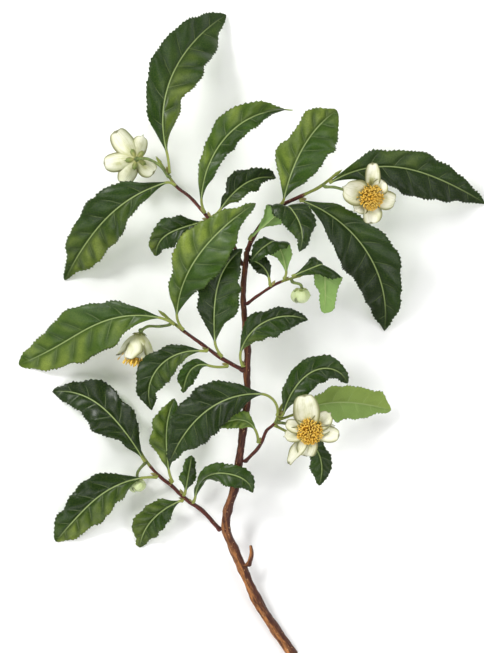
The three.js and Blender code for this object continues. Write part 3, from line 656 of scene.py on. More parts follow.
def scatter_tree(name, material, least, most):
    """Strews small bosses over the bark it is given, each scaled between least and most."""
    g = Growth(name, Density=1000.0, Size=0.0004, Seed=1)
    seed = g.given["Seed"]
    strew = g.node("GeometryNodeDistributePointsOnFaces", {
        "Mesh": g.given["Geometry"], "Density": g.given["Density"], "Seed": seed})
    boss = g.node("GeometryNodeMeshIcoSphere", {"Subdivisions": 2, "Radius": g.given["Size"]})
    vary = g.node(
        "FunctionNodeRandomValue", {0: least, 1: most, "Seed": seed}, data_type="FLOAT_VECTOR")
    put = g.node("GeometryNodeInstanceOnPoints", {
        "Points": strew["Points"], "Rotation": strew["Rotation"], "Instance": boss["Mesh"],
        "Scale": vary[0]})
    return g.finish(put[0], material)


def point_tree(name, thing, material):
    """Sets a copy of a thing on each point, turned along its way and spun by chance."""
    g = Growth(name, Size=1.0, Vary=0.2, Seed=1)
    size, vary, seed = g.given["Size"], g.given["Vary"], g.given["Seed"]
    way = g.node("GeometryNodeInputNamedAttribute", {"Name": "way"}, data_type="FLOAT_VECTOR")
    turn = g.node("FunctionNodeAlignRotationToVector", {"Vector": way[0]}, axis="Z")
    spin = g.node(
        "FunctionNodeRandomValue", {2: 0.0, 3: 2 * math.pi, "Seed": seed}, data_type="FLOAT")
    about = g.node("ShaderNodeCombineXYZ", {"Z": spin[1]})
    local = g.node(
        "FunctionNodeRotateRotation", {0: turn[0], 1: about[0]}, rotation_space="LOCAL")
    low = g.node("ShaderNodeMath", {0: size, 1: vary}, operation="SUBTRACT")
    high = g.node("ShaderNodeMath", {0: size, 1: vary}, operation="ADD")
    scale = g.node(
        "FunctionNodeRandomValue", {2: low[0], 3: high[0], "Seed": seed}, data_type="FLOAT")
    model = g.node("GeometryNodeObjectInfo", {"Object": thing})
    put = g.node("GeometryNodeInstanceOnPoints", {
        "Points": g.given["Geometry"], "Instance": model["Geometry"], "Rotation": local[0],
        "Scale": scale[1]})
    return g.finish(put[0], material)


def grown(name, mesh, tree, **inputs):
    """The plain mesh that a geometry-nodes tree makes of a mesh."""
    host = place(name + "_host", mesh)
    modifier = host.modifiers.new("grow", "NODES")
    modifier.node_group = tree
    named = {item.name: item.identifier for item in tree.interface.items_tree
             if item.in_out == "INPUT"}
    for label, value in inputs.items():
        modifier[named[label]] = value
    bpy.context.view_layer.update()
    settled = host.evaluated_get(bpy.context.evaluated_depsgraph_get())
    result = bpy.data.meshes.new_from_object(settled)
    result.name = name
    bpy.data.objects.remove(host)
    return result


def planted(name, model_mesh, points, ways, material, **inputs):
    """One mesh of copies of a small model, which stand on points and look along their ways."""
    model = place(name + "_model", model_mesh)
    tree = point_tree(name + "_growth", model, material)
    mesh = grown(name, points_mesh(name + "_points", points, ways), tree, **inputs)
    bpy.data.objects.remove(model)
    return mesh


# ---------------------------------------------------------------- finishes


class Tree:
    """A short way to wire shader nodes."""

    def __init__(self, name):
        self.material = bpy.data.materials.new(name)
        self.material.use_nodes = True
        self.nodes = self.material.node_tree.nodes
        self.links = self.material.node_tree.links
        self.shader = self.nodes["Principled BSDF"]
        self.place = self.nodes.new("ShaderNodeTexCoord").outputs["Object"]

    def put(self, socket, value):
        if isinstance(value, bpy.types.NodeSocket):
            self.links.new(value, socket)
        elif hasattr(value, "__len__"):
            socket.default_value = (*value[:3], 1.0) if len(socket.default_value) == 4 else value
        else:
            socket.default_value = value

    def math(self, kind, a, b=0.0):
        node = self.nodes.new("ShaderNodeMath")
        node.operation = kind
        self.put(node.inputs[0], a)
        self.put(node.inputs[1], b)
        return node.outputs[0]

    def times(self, a, b):
        return self.math("MULTIPLY", a, b)

    def plus(self, a, b):
        return self.math("ADD", a, b)

    def off(self, a, b):
        """How far a lies from b, with its sign."""
        return self.math("SUBTRACT", a, b)

    def size(self, a):
        return self.math("ABSOLUTE", a)

    def reach(self, value, low, high, to_low=0.0, to_high=1.0):
        """Runs smoothly from to_low, where the value is low, to to_high, where it is high."""
        node = self.nodes.new("ShaderNodeMapRange")
        node.interpolation_type = "SMOOTHSTEP"
        for socket, item in zip(node.inputs, (value, low, high, to_low, to_high)):
            self.put(socket, item)
        return node.outputs[0]

    def mix(self, share, a, b):
        node = self.nodes.new("ShaderNodeMix")
        node.data_type = "RGBA"
        self.put(node.inputs[0], share)
        self.put(node.inputs[6], a)
        self.put(node.inputs[7], b)
        return node.outputs[2]

    def own(self, name):
        node = self.nodes.new("ShaderNodeAttribute")
        node.attribute_name = name
        return node.outputs["Fac"]

    def noise(self, scale, detail=3.0, vector=None, roughness=0.55):
        node = self.nodes.new("ShaderNodeTexNoise")
        self.links.new(vector or self.place, node.inputs["Vector"])
        node.inputs["Scale"].default_value = scale
        node.inputs["Detail"].default_value = detail
        node.inputs["Roughness"].default_value = roughness
        return node.outputs[0]

    def cells(self, scale):
        node = self.nodes.new("ShaderNodeTexVoronoi")
        node.feature = "DISTANCE_TO_EDGE"
        self.links.new(self.place, node.inputs["Vector"])
        node.inputs["Scale"].default_value = scale
        return node.outputs["Distance"]

    def vector(self, x, y, z):
        node = self.nodes.new("ShaderNodeCombineXYZ")
        for socket, item in zip(node.inputs, (x, y, z)):
            self.put(socket, item)
        return node.outputs[0]

    def bump(self, height, distance, strength):
        node = self.nodes.new("ShaderNodeBump")
        node.inputs["Distance"].default_value = distance
        node.inputs["Strength"].default_value = strength
        self.links.new(height, node.inputs["Height"])
        self.links.new(node.outputs[0], self.shader.inputs["Normal"])

    def set(self, **values):
        for key, value in values.items():
            self.put(self.shader.inputs[key.replace("_", " ")], value)
        return self.material


def toned(skin, *shares):
    """A colour with each of its channels scaled, by one share or by three."""
    return tuple(c * share for c, share in zip(skin, shares * 3))


def leaf_finish(name, skin, s, gloss):
    """A blade: glossy skin with painted light and shade in yellow-green and dark fields, pale veins, a
    matt pale underside.
    """
    t = Tree(name)
    across, share = t.own("across"), t.own("along")
    aside, out = t.size(across), t.size(t.own("share"))
    under = t.reach(t.own("under"), 0.35, 0.65)
    blotch, fine, net = t.noise(30.0, 4.0), t.noise(900.0, 3.0), t.cells(620.0)
    netting = t.reach(net, 0.10, 0.02)

    # veins, and the fields between them, with painted shade in the furrows at the side veins and beside
    # the midrib
    phase = t.plus(t.own("phase"), t.times(t.reach(across, -0.02, 0.02), 0.5))
    near = t.size(t.off(t.math("FRACT", phase), 0.5))
    on_blade = t.reach(share, 0.0, 0.05)
    side_vein = t.times(t.reach(near, 0.470, 0.497), t.times(on_blade, t.reach(out, 0.80, 0.35)))
    between = t.times(t.reach(near, 0.46, 0.10), t.reach(out, 0.04, 0.35))
    midrib = t.times(t.reach(aside, 0.62, 0.22), t.reach(share, 1.02, 0.70))
    furrow_shade = t.times(t.reach(near, 0.20, 0.49), t.reach(out, 0.02, 0.25))
    furrow_shade = t.times(furrow_shade, t.times(t.reach(out, 1.0, 0.6), on_blade))
    midrib_shade = t.reach(aside, 3.6, 0.4, 0.0, 0.55)
    shade = t.math("MAXIMUM", t.times(furrow_shade, 0.62), midrib_shade)

    # upper skin, with painted light and painted shade by each half's tone and painted highlights
    # between the veins
    painted_light_and_tone = t.plus(t.own("painted_light_and_tone"), t.times(t.off(blotch, 0.5), 1.5))
    # painted highlights: yellow-green light in patches between the side veins, stronger where the tone
    # is high
    highlight_patches = t.times(between, t.reach(t.noise(70.0, 3.0), 0.35, 0.6, 0.0, 0.52))
    light = t.times(t.reach(painted_light_and_tone, -0.15, 0.80), t.plus(0.46, highlight_patches))
    upper = t.mix(t.reach(painted_light_and_tone, 0.10, -0.75), skin, toned(skin, 0.30, 0.34, 0.30))
    upper = t.mix(t.times(light, 0.80), upper, s.flush)
    # painted shade in the furrows at the side veins and beside the midrib
    upper = t.mix(shade, upper, toned(skin, 0.42, 0.48, 0.42))
    upper = t.mix(t.times(t.reach(fine, 0.4, 0.7), 0.25), upper, toned(skin, 0.4))
    upper = t.mix(t.times(netting, 0.07), upper, s.flush)
    upper = t.mix(t.times(side_vein, 0.20), upper, s.vein)

    # lower skin, with painted light where the blade's tone is high
    dull = toned(s.under, 0.6)
    lower = t.mix(t.reach(blotch, 0.3, 0.7, 0.0, 0.45), s.under, dull)
    lower = t.mix(t.reach(t.own("painted_light_and_tone"), 0.0, 0.35, 0.0, 0.75), lower, s.flush)
    lower = t.mix(t.times(netting, 0.22), lower, dull)
    lower = t.mix(t.times(side_vein, 0.55), lower, s.vein)

    # both, with the midrib, a browned rim and the petiole
    body = t.mix(under, upper, lower)
    body = t.mix(t.times(midrib, 0.80), body, s.vein)
    rim = t.times(t.reach(out, 0.975, 1.0), t.reach(t.noise(240.0, 2.0), 0.40, 0.6))
    body = t.mix(t.times(rim, 0.6), body, (0.05, 0.028, 0.010))
    petiole = t.mix(t.noise(160.0), (0.17, 0.21, 0.040), (0.30, 0.33, 0.085))
    body = t.mix(t.reach(share, 0.01, -0.05), body, petiole)
    shine = t.mix(under, t.reach(blotch, 0.3, 0.7, gloss, gloss + 0.10), (0.62, 0.62, 0.62))
    t.bump(t.plus(t.times(t.reach(net, 0.0, 0.16), 0.5), t.times(fine, 0.5)), 0.00006, 0.35)
    return t.set(Base_Color=body, Roughness=shine, Specular_IOR_Level=0.24)


def bark_finish(name, tan, dark, shoot, crack_depth):
    """Bark: streaks along the limb, darker furrows, painted shade down one side, and green where the
    shoot is young.
    """
    t = Tree(name)
    turn = t.own("turn")
    round_limb = t.math("COSINE", turn)
    stretched = t.vector(round_limb, t.math("SINE", turn), t.times(t.own("run"), 0.055))
    streak = t.noise(2.1, 6.0, stretched, 0.62)
    fine = t.noise(7.0, 4.0, stretched, 0.6)
    blotch = t.noise(46.0, 4.0)
    shade = t.plus(t.times(streak, 0.6), t.times(fine, 0.4))

    pale = tuple(min(1, c + 0.03) for c in toned(tan, 1.6))
    body = t.mix(t.reach(shade, 0.36, 0.62), dark, tan)
    body = t.mix(t.times(t.reach(blotch, 0.50, 0.70), 0.5), body, pale)
    maroon = t.mix(t.reach(shade, 0.42, 0.62), toned(dark, 0.5), toned(dark, 2.2))
    body = t.mix(t.times(t.off(1.0, t.own("old")), 0.78), body, maroon)
    # painted shade: darker down one side of the limb, broken by the streaks
    shaded_side = t.reach(t.plus(round_limb, t.times(t.off(streak, 0.5), 2.4)), 0.45, -0.35)
    body = t.mix(t.times(shaded_side, 0.88), body, dark)
    green = t.mix(t.reach(fine, 0.35, 0.65), shoot, toned(shoot, 0.6))
    young = t.reach(t.plus(t.own("young"), t.times(t.off(blotch, 0.5), 0.7)), 0.35, 0.75)
    body = t.mix(young, body, green)
    t.bump(t.plus(t.times(fine, 0.6), t.times(t.noise(700.0, 3.0), 0.4)), crack_depth, 0.8)
    return t.set(Base_Color=body, Roughness=t.reach(shade, 0.35, 0.65, 0.66, 0.44),
                 Specular_IOR_Level=0.3)


def petal_finish(name, skin, shade, fuzz):
    """A petal: shaded at its foot, heart and sides, faint veins that fan out, a dark rim."""
    t = Tree(name)
    across, share = t.own("share"), t.own("along")
    out = t.size(across)
    fan = t.vector(t.times(across, 9.0), t.times(share, 0.8), t.own("petal"))
    veins, cloud = t.noise(2.4, 3.0, fan), t.noise(120.0, 3.0)
    body = t.mix(t.reach(share, 0.50, 0.0, 0.0, 0.85), skin, shade)
    body = t.mix(t.times(t.reach(veins, 0.50, 0.70), 0.45), body, shade)
    body = t.mix(t.times(t.reach(cloud, 0.45, 0.70), 0.30), body, shade)
    body = t.mix(t.reach(out, 0.45, 0.95, 0.0, 0.50), body, shade)
    heart = t.times(t.reach(out, 0.70, 0.10), t.reach(t.size(t.off(share, 0.45)), 0.36, 0.06))
    body = t.mix(t.times(heart, t.reach(cloud, 0.35, 0.65, 0.30, 0.80)), body, shade)
    rim = t.math("MAXIMUM", t.reach(out, 0.74, 0.96), t.reach(share, 0.925, 0.985))
    body = t.mix(t.times(rim, 0.90), body, toned(shade, 0.38))
    t.bump(t.plus(veins, t.times(cloud, 0.4)), 0.00018, 0.5)
    return t.set(Base_Color=body, Roughness=t.reach(cloud, 0.3, 0.7, 0.42, 0.55),
                 Sheen_Weight=fuzz, Sheen_Roughness=0.4)


def stalk_finish(name, skin, flecks):
    """A green stalk, clouded and flecked."""
    t = Tree(name)
    cloud, fine = t.noise(210.0, 4.0), t.noise(900.0, 3.0)
    body = t.mix(t.reach(cloud, 0.38, 0.62), skin, toned(skin, 0.55))
    body = t.mix(t.times(t.reach(fine, 0.5, 0.75), 0.4), body, flecks)
    t.bump(fine, 0.0001, 0.6)
    return t.set(Base_Color=body, Roughness=t.reach(cloud, 0.3, 0.7, 0.42, 0.58))


def speck_finish(name, body, dark, roughness):
    """Grains too small for a pattern of their own: two colours and a rough skin."""
    t = Tree(name)
    grain, cloud = t.noise(1400.0, 3.0), t.noise(160.0, 2.0)
    shade = t.plus(t.times(grain, 0.5), t.times(cloud, 0.5))
    t.bump(grain, 0.00006, 0.7)
    return t.set(Base_Color=t.mix(t.reach(shade, 0.38, 0.62), dark, body),
                 Roughness=t.reach(grain, 0.3, 0.7, roughness, roughness + 0.15))


def table_finish(name, skin):
    """A plain pale table."""
    t = Tree(name)
    grain = t.noise(90.0, 3.0)
    return t.set(Base_Color=t.mix(t.reach(grain, 0.3, 0.7), skin, toned(skin, 0.985)),
                 Roughness=0.9, Specular_IOR_Level=0.1)


# ---------------------------------------------------------------- wood


def stations(limb, step, lead, tip_bud):
    """(centre, way, radius, distance, node) along a limb, from its sunk foot to its tip."""
    found = []
    if lead:
        start, aside = lead
        found += [(start - aside * back, limb.tangent(0), limb.base * wide, -back, 0)
                  for back, wide in SUNK_FOOT]
    count = max(8, int(limb.length / step))
    for i in range(count + 1):
        gone = i / count * limb.length
        at = float(np.interp(gone, limb.lengths, np.arange(MARKS + 1) / MARKS))
        wide = limb.radius(at * limb.last)
        if lead:
            wide *= 1 + FLARE * math.exp(-(gone / FLARE_LENGTH) ** 2)
        found.append((limb.point(at), limb.tangent(at), wide, gone, at * limb.last))
    if tip_bud:
        end, forward = limb.point(1), limb.tangent(1)
        shares, widths = zip(*TIP_BUD_FORM)
        for i in range(1, TIP_BUD_STEPS + 1):
            share = i / TIP_BUD_STEPS
            wide = limb.tip * float(np.interp(share, shares, widths))
            wide *= 1 + 0.05 * math.sin(share * 19)
            found.append((end + forward * share * TIP_BUD, forward, wide,
                          limb.length + share * TIP_BUD, limb.last + share))
    return found


def tube_rings(limb, sides, step, ridge, furrows, lead=None, tip_bud=False, green_from=None):
    """Rings of a limb with its bark's relief: streaks, knobs and fine ribs."""
    turns = 2 * math.pi * np.arange(sides) / sides
    if green_from is None:
        green_from = limb.last + 5
    rings, values = [], dict(run=[], turn=[], young=[])
    for centre, forward, wide, gone, node in stations(limb, step, lead, tip_bud):
        across, normal = blade_frame(forward)
        ring = []
        for a in turns:
            out = -across * math.cos(a) + normal * math.sin(a)
            x, y = math.cos(a) * furrows, math.sin(a) * furrows
            streak = noise.noise(Vector((x, y, gone * 0.05)))
            knob = noise.noise(Vector((math.cos(a) * 1.3, math.sin(a) * 1.3, gone * 0.22)))
            fine = noise.noise(Vector((x * 2.6, y * 2.6, gone * 0.3)))
            lump = ridge * (streak * 1.1 + knob * 0.9 + fine * 0.5)
            ring.append(centre + out * (wide + lump * min(1.0, wide / FULL_RELIEF)))
        rings.append(np.array(ring))
        green = float(smooth(green_from - GREENING, green_from + GREENING, node))
        values["run"].append(np.full(sides, gone))
        values["turn"].append(turns)
        values["young"].append(np.full(sides, green))
    return rings, values


def limb_rings(name, s):
    """Rings of the stem, the dead stub or a twig, each with its foot sunk in what bears it."""
    limb, stem = LIMBS[name], LIMBS["main_stem"]
    sides, relief, furrows = BARK_FORMS.get(name, TWIG_FORM)
    form = (limb, sides, s.step / MM, s.ridge / MM * relief, furrows)
    if name == "main_stem":
        return tube_rings(*form)
    if name == "dead_stub":
        return tube_rings(*form, stem.foot(*DEAD_STUB))
    if name in SIDE_TWIGS:
        node, heading, climb, _, base, _, green_from = SIDE_TWIGS[name]
        return tube_rings(*form, stem.foot(node, heading, climb, base), True, green_from)
    rings, values = tube_rings(*form, (limb.point(0), stem.tangent(1)), True, TOP_GREEN)
    for ring in rings[:len(SUNK_FOOT)]:
        middle = ring.mean(0)
        away = ring - middle
        ring[:] = away * (TOP_FOOT / np.linalg.norm(away, axis=1).mean()) + middle
    return rings, values


def bark_age(name, ring):
    """1 where the bark is tan or red-brown, falling to 0 where the stem turns maroon."""
    if name == "main_stem":
        return smooth(*MAROON, ring[:, 1])
    return np.ones(len(ring))


def axil_points():
    """Where a small bud sits in the angle between each petiole and its limb."""
    points, ways = [], []
    for limb_name, node, _, leaf in LEAVES.values():
        limb = LIMBS[limb_name]
        _, heading, climb = leaf["stalk"]
        start, aside = limb.foot(node, heading, climb, PETIOLE_RADIUS)
        forward = limb.tangent(node / limb.last)
        points.append(start - aside * (CLEAR + 0.5) + forward * 1.5)
        ways.append(unit(forward + aside * 0.55))
    return (np.array(points) - MIDDLE) * MM, ways


class TEA_OT_wood(bpy.types.Operator):
    """Stem, dead stub and twigs with their bark's relief, lenticels and small axil buds"""

    bl_idname = "tea.wood"
    bl_label = "Stem and twigs"

    def execute(self, context):
        s = context.scene.tea_wood
        finishes = {
            "bark": bark_finish("bark", s.old_bark, s.dark_bark_and_shade, s.shoot, 0.00035),
            "twig_bark": bark_finish("twig_bark", s.twig_bark, s.dark_bark_and_shade, s.shoot, 0.00022),
        }
        speck = speck_finish("lenticel", (0.50, 0.30, 0.14), (0.22, 0.09, 0.04), 0.6)
        lenticels = scatter_tree("Lenticels", speck, (0.6, 0.6, 0.25), (1.5, 1.5, 0.6))
        for name in LIMBS:
            rings, values = limb_rings(name, s)
            values["old"] = [bark_age(name, ring) for ring in rings]
            mesh = ring_mesh(name + "_bark", rings, values)
            slot = "bark" if name in ("main_stem", "dead_stub") else "twig_bark"
            finish_piece(place(name + "_bark", mesh), slot, name, material=finishes[slot])
            if name != "dead_stub":
                density, size = LENTICELS[slot]
                specks = grown(name + "_lenticels", mesh.copy(), lenticels, Density=density,
                               Size=size, Seed=7)
                finish_piece(place(name + "_lenticels", specks), slot)
        skin = stalk_finish("axil_bud", (0.26, 0.24, 0.06), (0.35, 0.10, 0.04))
        model = lathe("axil_bud", AXIL_BUD_FORM, 10)
        buds = planted("axil_buds", model, *axil_points(), skin, Size=0.95, Vary=0.25, Seed=3)
        finish_piece(place("axil_buds", buds), "twig_bark")
        return {"FINISHED"}


# ---------------------------------------------------------------- leaves


def outline(t, tip, base):
    """A blade's half width at t, against its widest."""
    side = t / WIDEST if t < WIDEST else (1 - t) / (1 - WIDEST)
    full = math.sin(math.pi / 2 * max(0.0, side))
    return full ** (base if t < WIDEST else tip)


def fold_over(points, crease):
    """Bends what lies beyond a crease over it, round a small radius."""
    where, axis, over, normal, turn = crease
    away = points - where
    side, beyond, height = away @ axis, away @ over, away @ normal
    angle = np.minimum(beyond / CREASE_RADIUS, math.radians(turn))
    rest = beyond - angle * CREASE_RADIUS
    reach = (CREASE_RADIUS - height) * np.sin(angle) + rest * np.cos(angle)
    rise = CREASE_RADIUS - (CREASE_RADIUS - height) * np.cos(angle) + rest * np.sin(angle)
    folded = where + np.outer(side, axis) + np.outer(reach, over) + np.outer(rise, normal)
    return np.where((beyond > 0)[:, None], folded, points)


class Leaf:
    """A leaf's sizes and chances, and the rings of its petiole and blade as they grow.

    Along a ring, side runs from -1 at the left edge to 1 at the right, over the upper skin and
    back under the lower. Along the leaf, t runs from -1 to 0 on the petiole and to 1 at the tip.
    """

    def __init__(self, name, s):
        limb_name, self.node, _, form = LEAVES[name]
        self.limb, self.form = LIMBS[limb_name], form
        self.length, self.left, self.right = form["blade"]
        self.length *= form.get("longer", 1)
        self.roll = form.get("roll", (0, 0, 0))
        self.thick = max(LEAST_THICK, LEAF_THICK * self.length)
        draw = random.Random(sum(ord(letter) * (i + 1) for i, letter in enumerate(name)))
        self.lag, self.drift = draw.uniform(0, 6.28), draw.uniform(0, 40)
        self.ruffle = draw.uniform(0.8, 1.25)
        self.chances = [draw.random() for _ in range(CHANCES)]

        self.tooth, self.quilt = s.tooth_depth / MM, s.quilt / MM
        self.lobe, self.frill = s.lobe / MM, s.frill / MM
        self.fullness = min(1.0, max(self.left, self.right) / FULL_WIDTH)
        self.pairs = max(5, round(s.vein_pairs * min(1.0, 0.45 + 0.55 * self.length / 100)))
        margin = self.length + 0.6 * (self.left + self.right)
        self.steps = 3 * max(8, round(margin / (s.tooth_pitch / MM)))

        spread = (np.arange(s.half_samples + 1) / s.half_samples) ** 1.2
        stations = np.concatenate([-spread[::-1], spread[1:]])
        self.side, self.on_top, self.lens = lens_section(stations)
        self.wide, self.is_left = np.abs(self.side), self.side < 0
        self.under = np.where(self.wide > 0.999, 0.5, np.where(self.on_top, 0.0, 1.0))
        self.crease = None
        self.rings = []
        self.values = dict(across=[], share=[], along=[], phase=[], under=[], painted_light_and_tone=[])

    def split(self, pair):
        """The first of two values on the left half, the second on the right."""
        return np.where(self.is_left, *pair)

    def vein_phase(self, t, halves):
        """Counts side veins, which leave the midrib at a slant and sweep towards the tip."""
        shift = self.wide * self.split(halves) * 0.62 + 0.22 * self.wide ** 3 * max(halves)
        return self.pairs * (t - shift / self.length) + self.drift

    def add(self, points, t, halves, painted_light_and_tone):
        self.rings.append(points)
        for key, value in (
                ("across", self.side * self.split(halves)), ("share", self.side),
                ("along", np.full(len(self.side), t)), ("phase", self.vein_phase(t, halves)),
                ("under", self.under), ("painted_light_and_tone", painted_light_and_tone)):
            self.values[key].append(value)

    def grow_petiole(self):
        """The petiole, swollen where it joins the bark, with a groove along its top."""
        stalk, heading, climb = self.form["stalk"]

        def way(t):
            return aim(lerp(heading, self.form["heading"][0], t),
                       lerp(climb, self.form["climb"][0], t))

        def ring(centre, forward, turn, radius, groove, t):
            across, normal = blade_frame(forward, turn)
            points = (centre + np.outer(self.side * radius, across)
                      + np.outer(self.lens * radius + groove, normal))
            self.add(points, t, (radius, radius), np.zeros(len(self.side)))

        centre, aside = self.limb.foot(self.node, heading, climb, PETIOLE_RADIUS)
        for back, width in PETIOLE_FOOT:
            ring(centre - aside * back, way(0), 0.0, PETIOLE_RADIUS * width, 0.0, -1.05)
        steps = max(6, int(stalk / PETIOLE_STEP))
        for i in range(steps + 1):
            t = i / steps
            if i:
                centre = centre + way(t - 0.5 / steps) * stalk / steps
            radius = PETIOLE_RADIUS * (1 + 0.3 * math.exp(-(t * stalk / 1.8) ** 2))
            groove = -0.30 * radius * np.exp(-(self.side / 0.35) ** 2) * self.on_top
            groove = groove * smooth(0, 0.5, t)
            ring(centre, way(t), self.roll[0] * t, radius, groove, t - 1.0)
        return centre

    def blade_way(self, t):
        return aim(along(self.form["heading"], t), along(self.form["climb"], t))

    def bays(self, t):
        """How far the left and right edges bay in and out: by chance, and between side veins."""
        settled = float(smooth(0.06, 0.25, t) * smooth(1.0, 0.86, t))
        return [self.lobe * self.fullness * settled * (
            1.5 * noise.noise(Vector((t * LOBES, self.drift + 9.0 * late, 0.0)))
            + 0.30 * abs(math.sin(math.pi * (self.pairs * (t - 0.1) + self.drift + 0.5 * late)))
            - 0.15) for late in (0, 1)]

    def teeth(self, i, t):
        """How far the teeth stand out at ring i: each rises over three rings and is cut back."""
        tooth = self.tooth * (smooth(0.10, 0.22, t) * smooth(1.0, 0.93, t))
        tooth *= 0.6 + 0.4 * self.fullness
        cuts = [tooth * ((i + late) % 3) / 2
                * (0.35 + 1.2 * self.chances[(i + late) // 3 % CHANCES]) for late in (0, 1)]
        return self.split(cuts) * smooth(0.8, 1.0, self.wide)

    def skin(self, t, across):
        """Height of both skins: a thin lens, a trough over the midrib and its keel beneath."""
        thick = lerp(self.thick, LEAST_THICK, t * t) * BLADE_SHARE
        thick = lerp(2 * PETIOLE_RADIUS, thick, float(smooth(0.0, 0.07, t)))
        pinch = math.sqrt(min(1.0, max(1e-4, (1 - t) / 0.03)))
        trough = -0.34 * np.exp(-(across / 0.62) ** 2) * self.on_top * smooth(1.0, 0.7, t)
        trough = trough * (1 - 0.6 * (t < 0.03))
        keel = -(0.35 + 0.55 * (1 - t)) * np.exp(-(across / 0.75) ** 2) * (~self.on_top)
        return self.lens * thick / 2 * pinch + trough + keel * smooth(1.0, 0.9, t) * pinch

    def lift(self, t, full, halves):
        """How far the whole blade lies off its plane: arch and waves, quilting, frill."""
        wide = self.wide
        ripple = np.sin(2 * math.pi * WAVES * t + self.split((0, RIGHT_LAG)))
        arch = self.split(halves) * ARCH * 2 * wide * (1 - ARCH_FALL * wide)
        rise = arch + self.form.get("wave", 1) * ripple * self.side ** 2 * full

        phase = self.vein_phase(t, halves) + self.split((0, 0.5))
        dome = np.abs(np.sin(math.pi * phase)) ** 0.8
        body = smooth(0.03, 0.22, wide) * smooth(1.0, 0.72, wide)
        body = body * smooth(0.02, 0.16, t) * smooth(1.0, 0.8, t)
        swell = self.quilt * (0.35 + 0.65 * self.fullness) * body * (dome - 0.4)

        crimp = np.sin(2 * math.pi * phase + self.lag + 1.2)
        frill = self.ruffle * 0.22 * self.frill * self.fullness * smooth(0.35, 1.0, wide) * full * crimp
        wander = [noise.noise(Vector((t * LOBES, self.drift + 9.0 * late + 4.0, 2.0)))
                  for late in (0, 1)]
        frill += 1.6 * self.frill * self.fullness * wide ** 1.7 * full * self.split(wander)
        return rise, swell, frill

    def crease_here(self, centre, forward, normal):
        """Sets the crease across the blade: its place, axis, far side, up and turn."""
        _, slant, turn = self.form["crease"]
        axis = turned(forward, normal, slant)
        over = np.cross(normal, axis)
        if np.dot(over, forward) < 0:
            over = -over
        self.crease = (centre, axis, over, -normal, turn)

    def grow_blade(self, centre):
        """The blade, with three rings to a tooth, closed at the tip."""
        form = self.form
        crease_at = 2
        if "crease" in form:
            crease_at = math.ceil(form["crease"][0] * CREASED_STEPS) / CREASED_STEPS - 1e-9
        for i in range(1, self.steps + 1):
            t = i / self.steps
            centre = centre + self.blade_way(t - 0.5 / self.steps) * self.length / self.steps
            forward = self.blade_way(t)
            across, normal = blade_frame(forward, along(self.roll, t))
            full = outline(t, form["tip"], form.get("base", BASE_PINCH))
            least = PETIOLE_RADIUS * (1 - t) ** 2
            bays = self.bays(t)
            halves = (self.left * full + least + bays[0], self.right * full + least + bays[1])
            reach = self.split(halves)
            height = self.skin(t, self.side * reach)
            for part in self.lift(t, full, halves):
                height = height + part
            widths = reach + self.teeth(i, t)
            if i == self.steps:
                widths, height = widths * 0 + 0.03, height * 0
            points = centre + np.outer(self.side * widths, across) + np.outer(height, normal)
            # painted light and shade: each half of the blade lighter or darker from base to tip, by how
            # it catches the light
            base_left, tip_left, base_right, tip_right = form["painted_light_and_tone"]
            painted_light_and_tone = lerp(lerp(base_left, tip_left, t), lerp(base_right, tip_right, t),
                        smooth(-0.10, 0.10, self.side))
            self.add(points, t, halves, painted_light_and_tone)
            if self.crease is None and t >= crease_at:
                self.crease_here(centre, forward, normal)

    def laid(self):
        """The finished rings, folded at the crease and laid on the table."""
        floor = (0.5 + 0.5 * self.lens) * self.thick * BLADE_SHARE
        placed = []
        for points in self.rings:
            points = fold_over(points, self.crease) if self.crease else points.copy()
            points[:, 2] = on_table(points[:, 2], floor)
            placed.append(points)
        return placed


class TEA_OT_leaves(bpy.types.Operator):
    """Each leaf: a quilted blade with side veins, a toothed wavy edge, and a grooved petiole"""

    bl_idname = "tea.leaves"
    bl_label = "Leaves"

    def execute(self, context):
        s = context.scene.tea_leaf
        finishes = {key: leaf_finish("leaf_" + key, tuple(getattr(s, key)), s, gloss)
                    for key, gloss in (("deep", 0.30), ("mid", 0.31), ("fresh", 0.34))}
        for name, (_, _, finish, _) in LEAVES.items():
            leaf = Leaf(name, s)
            leaf.grow_blade(leaf.grow_petiole())
            mesh = ring_mesh(name + "_blade", leaf.laid(), leaf.values, 2 * s.half_samples)
            finish_piece(place(name + "_blade", mesh), "leaf", name, material=finishes[finish])
        return {"FINISHED"}


# ---------------------------------------------------------------- blooms and buds


def bloom_frame(at, heading, climb):
    """Turn and place of a bloom that faces a way: its own +Z."""
    axis = aim(heading, climb)
    east = np.array([1.0, 0, 0])
    first = unit(east - axis * np.dot(east, axis))
    return np.array([first, np.cross(axis, first), axis]).T, np.array(at, float)


def petal_width(t):
    """A petal's width at t, against its widest."""
    if t < PETAL_WIDEST:
        return lerp(PETAL_NARROW, 1, math.sin(math.pi / 2 * t / PETAL_WIDEST))
    narrow = (1 - t) / (1 - PETAL_WIDEST)
    return math.sqrt(max(0.0, 1 - (1 - narrow) ** 2)) ** 0.8


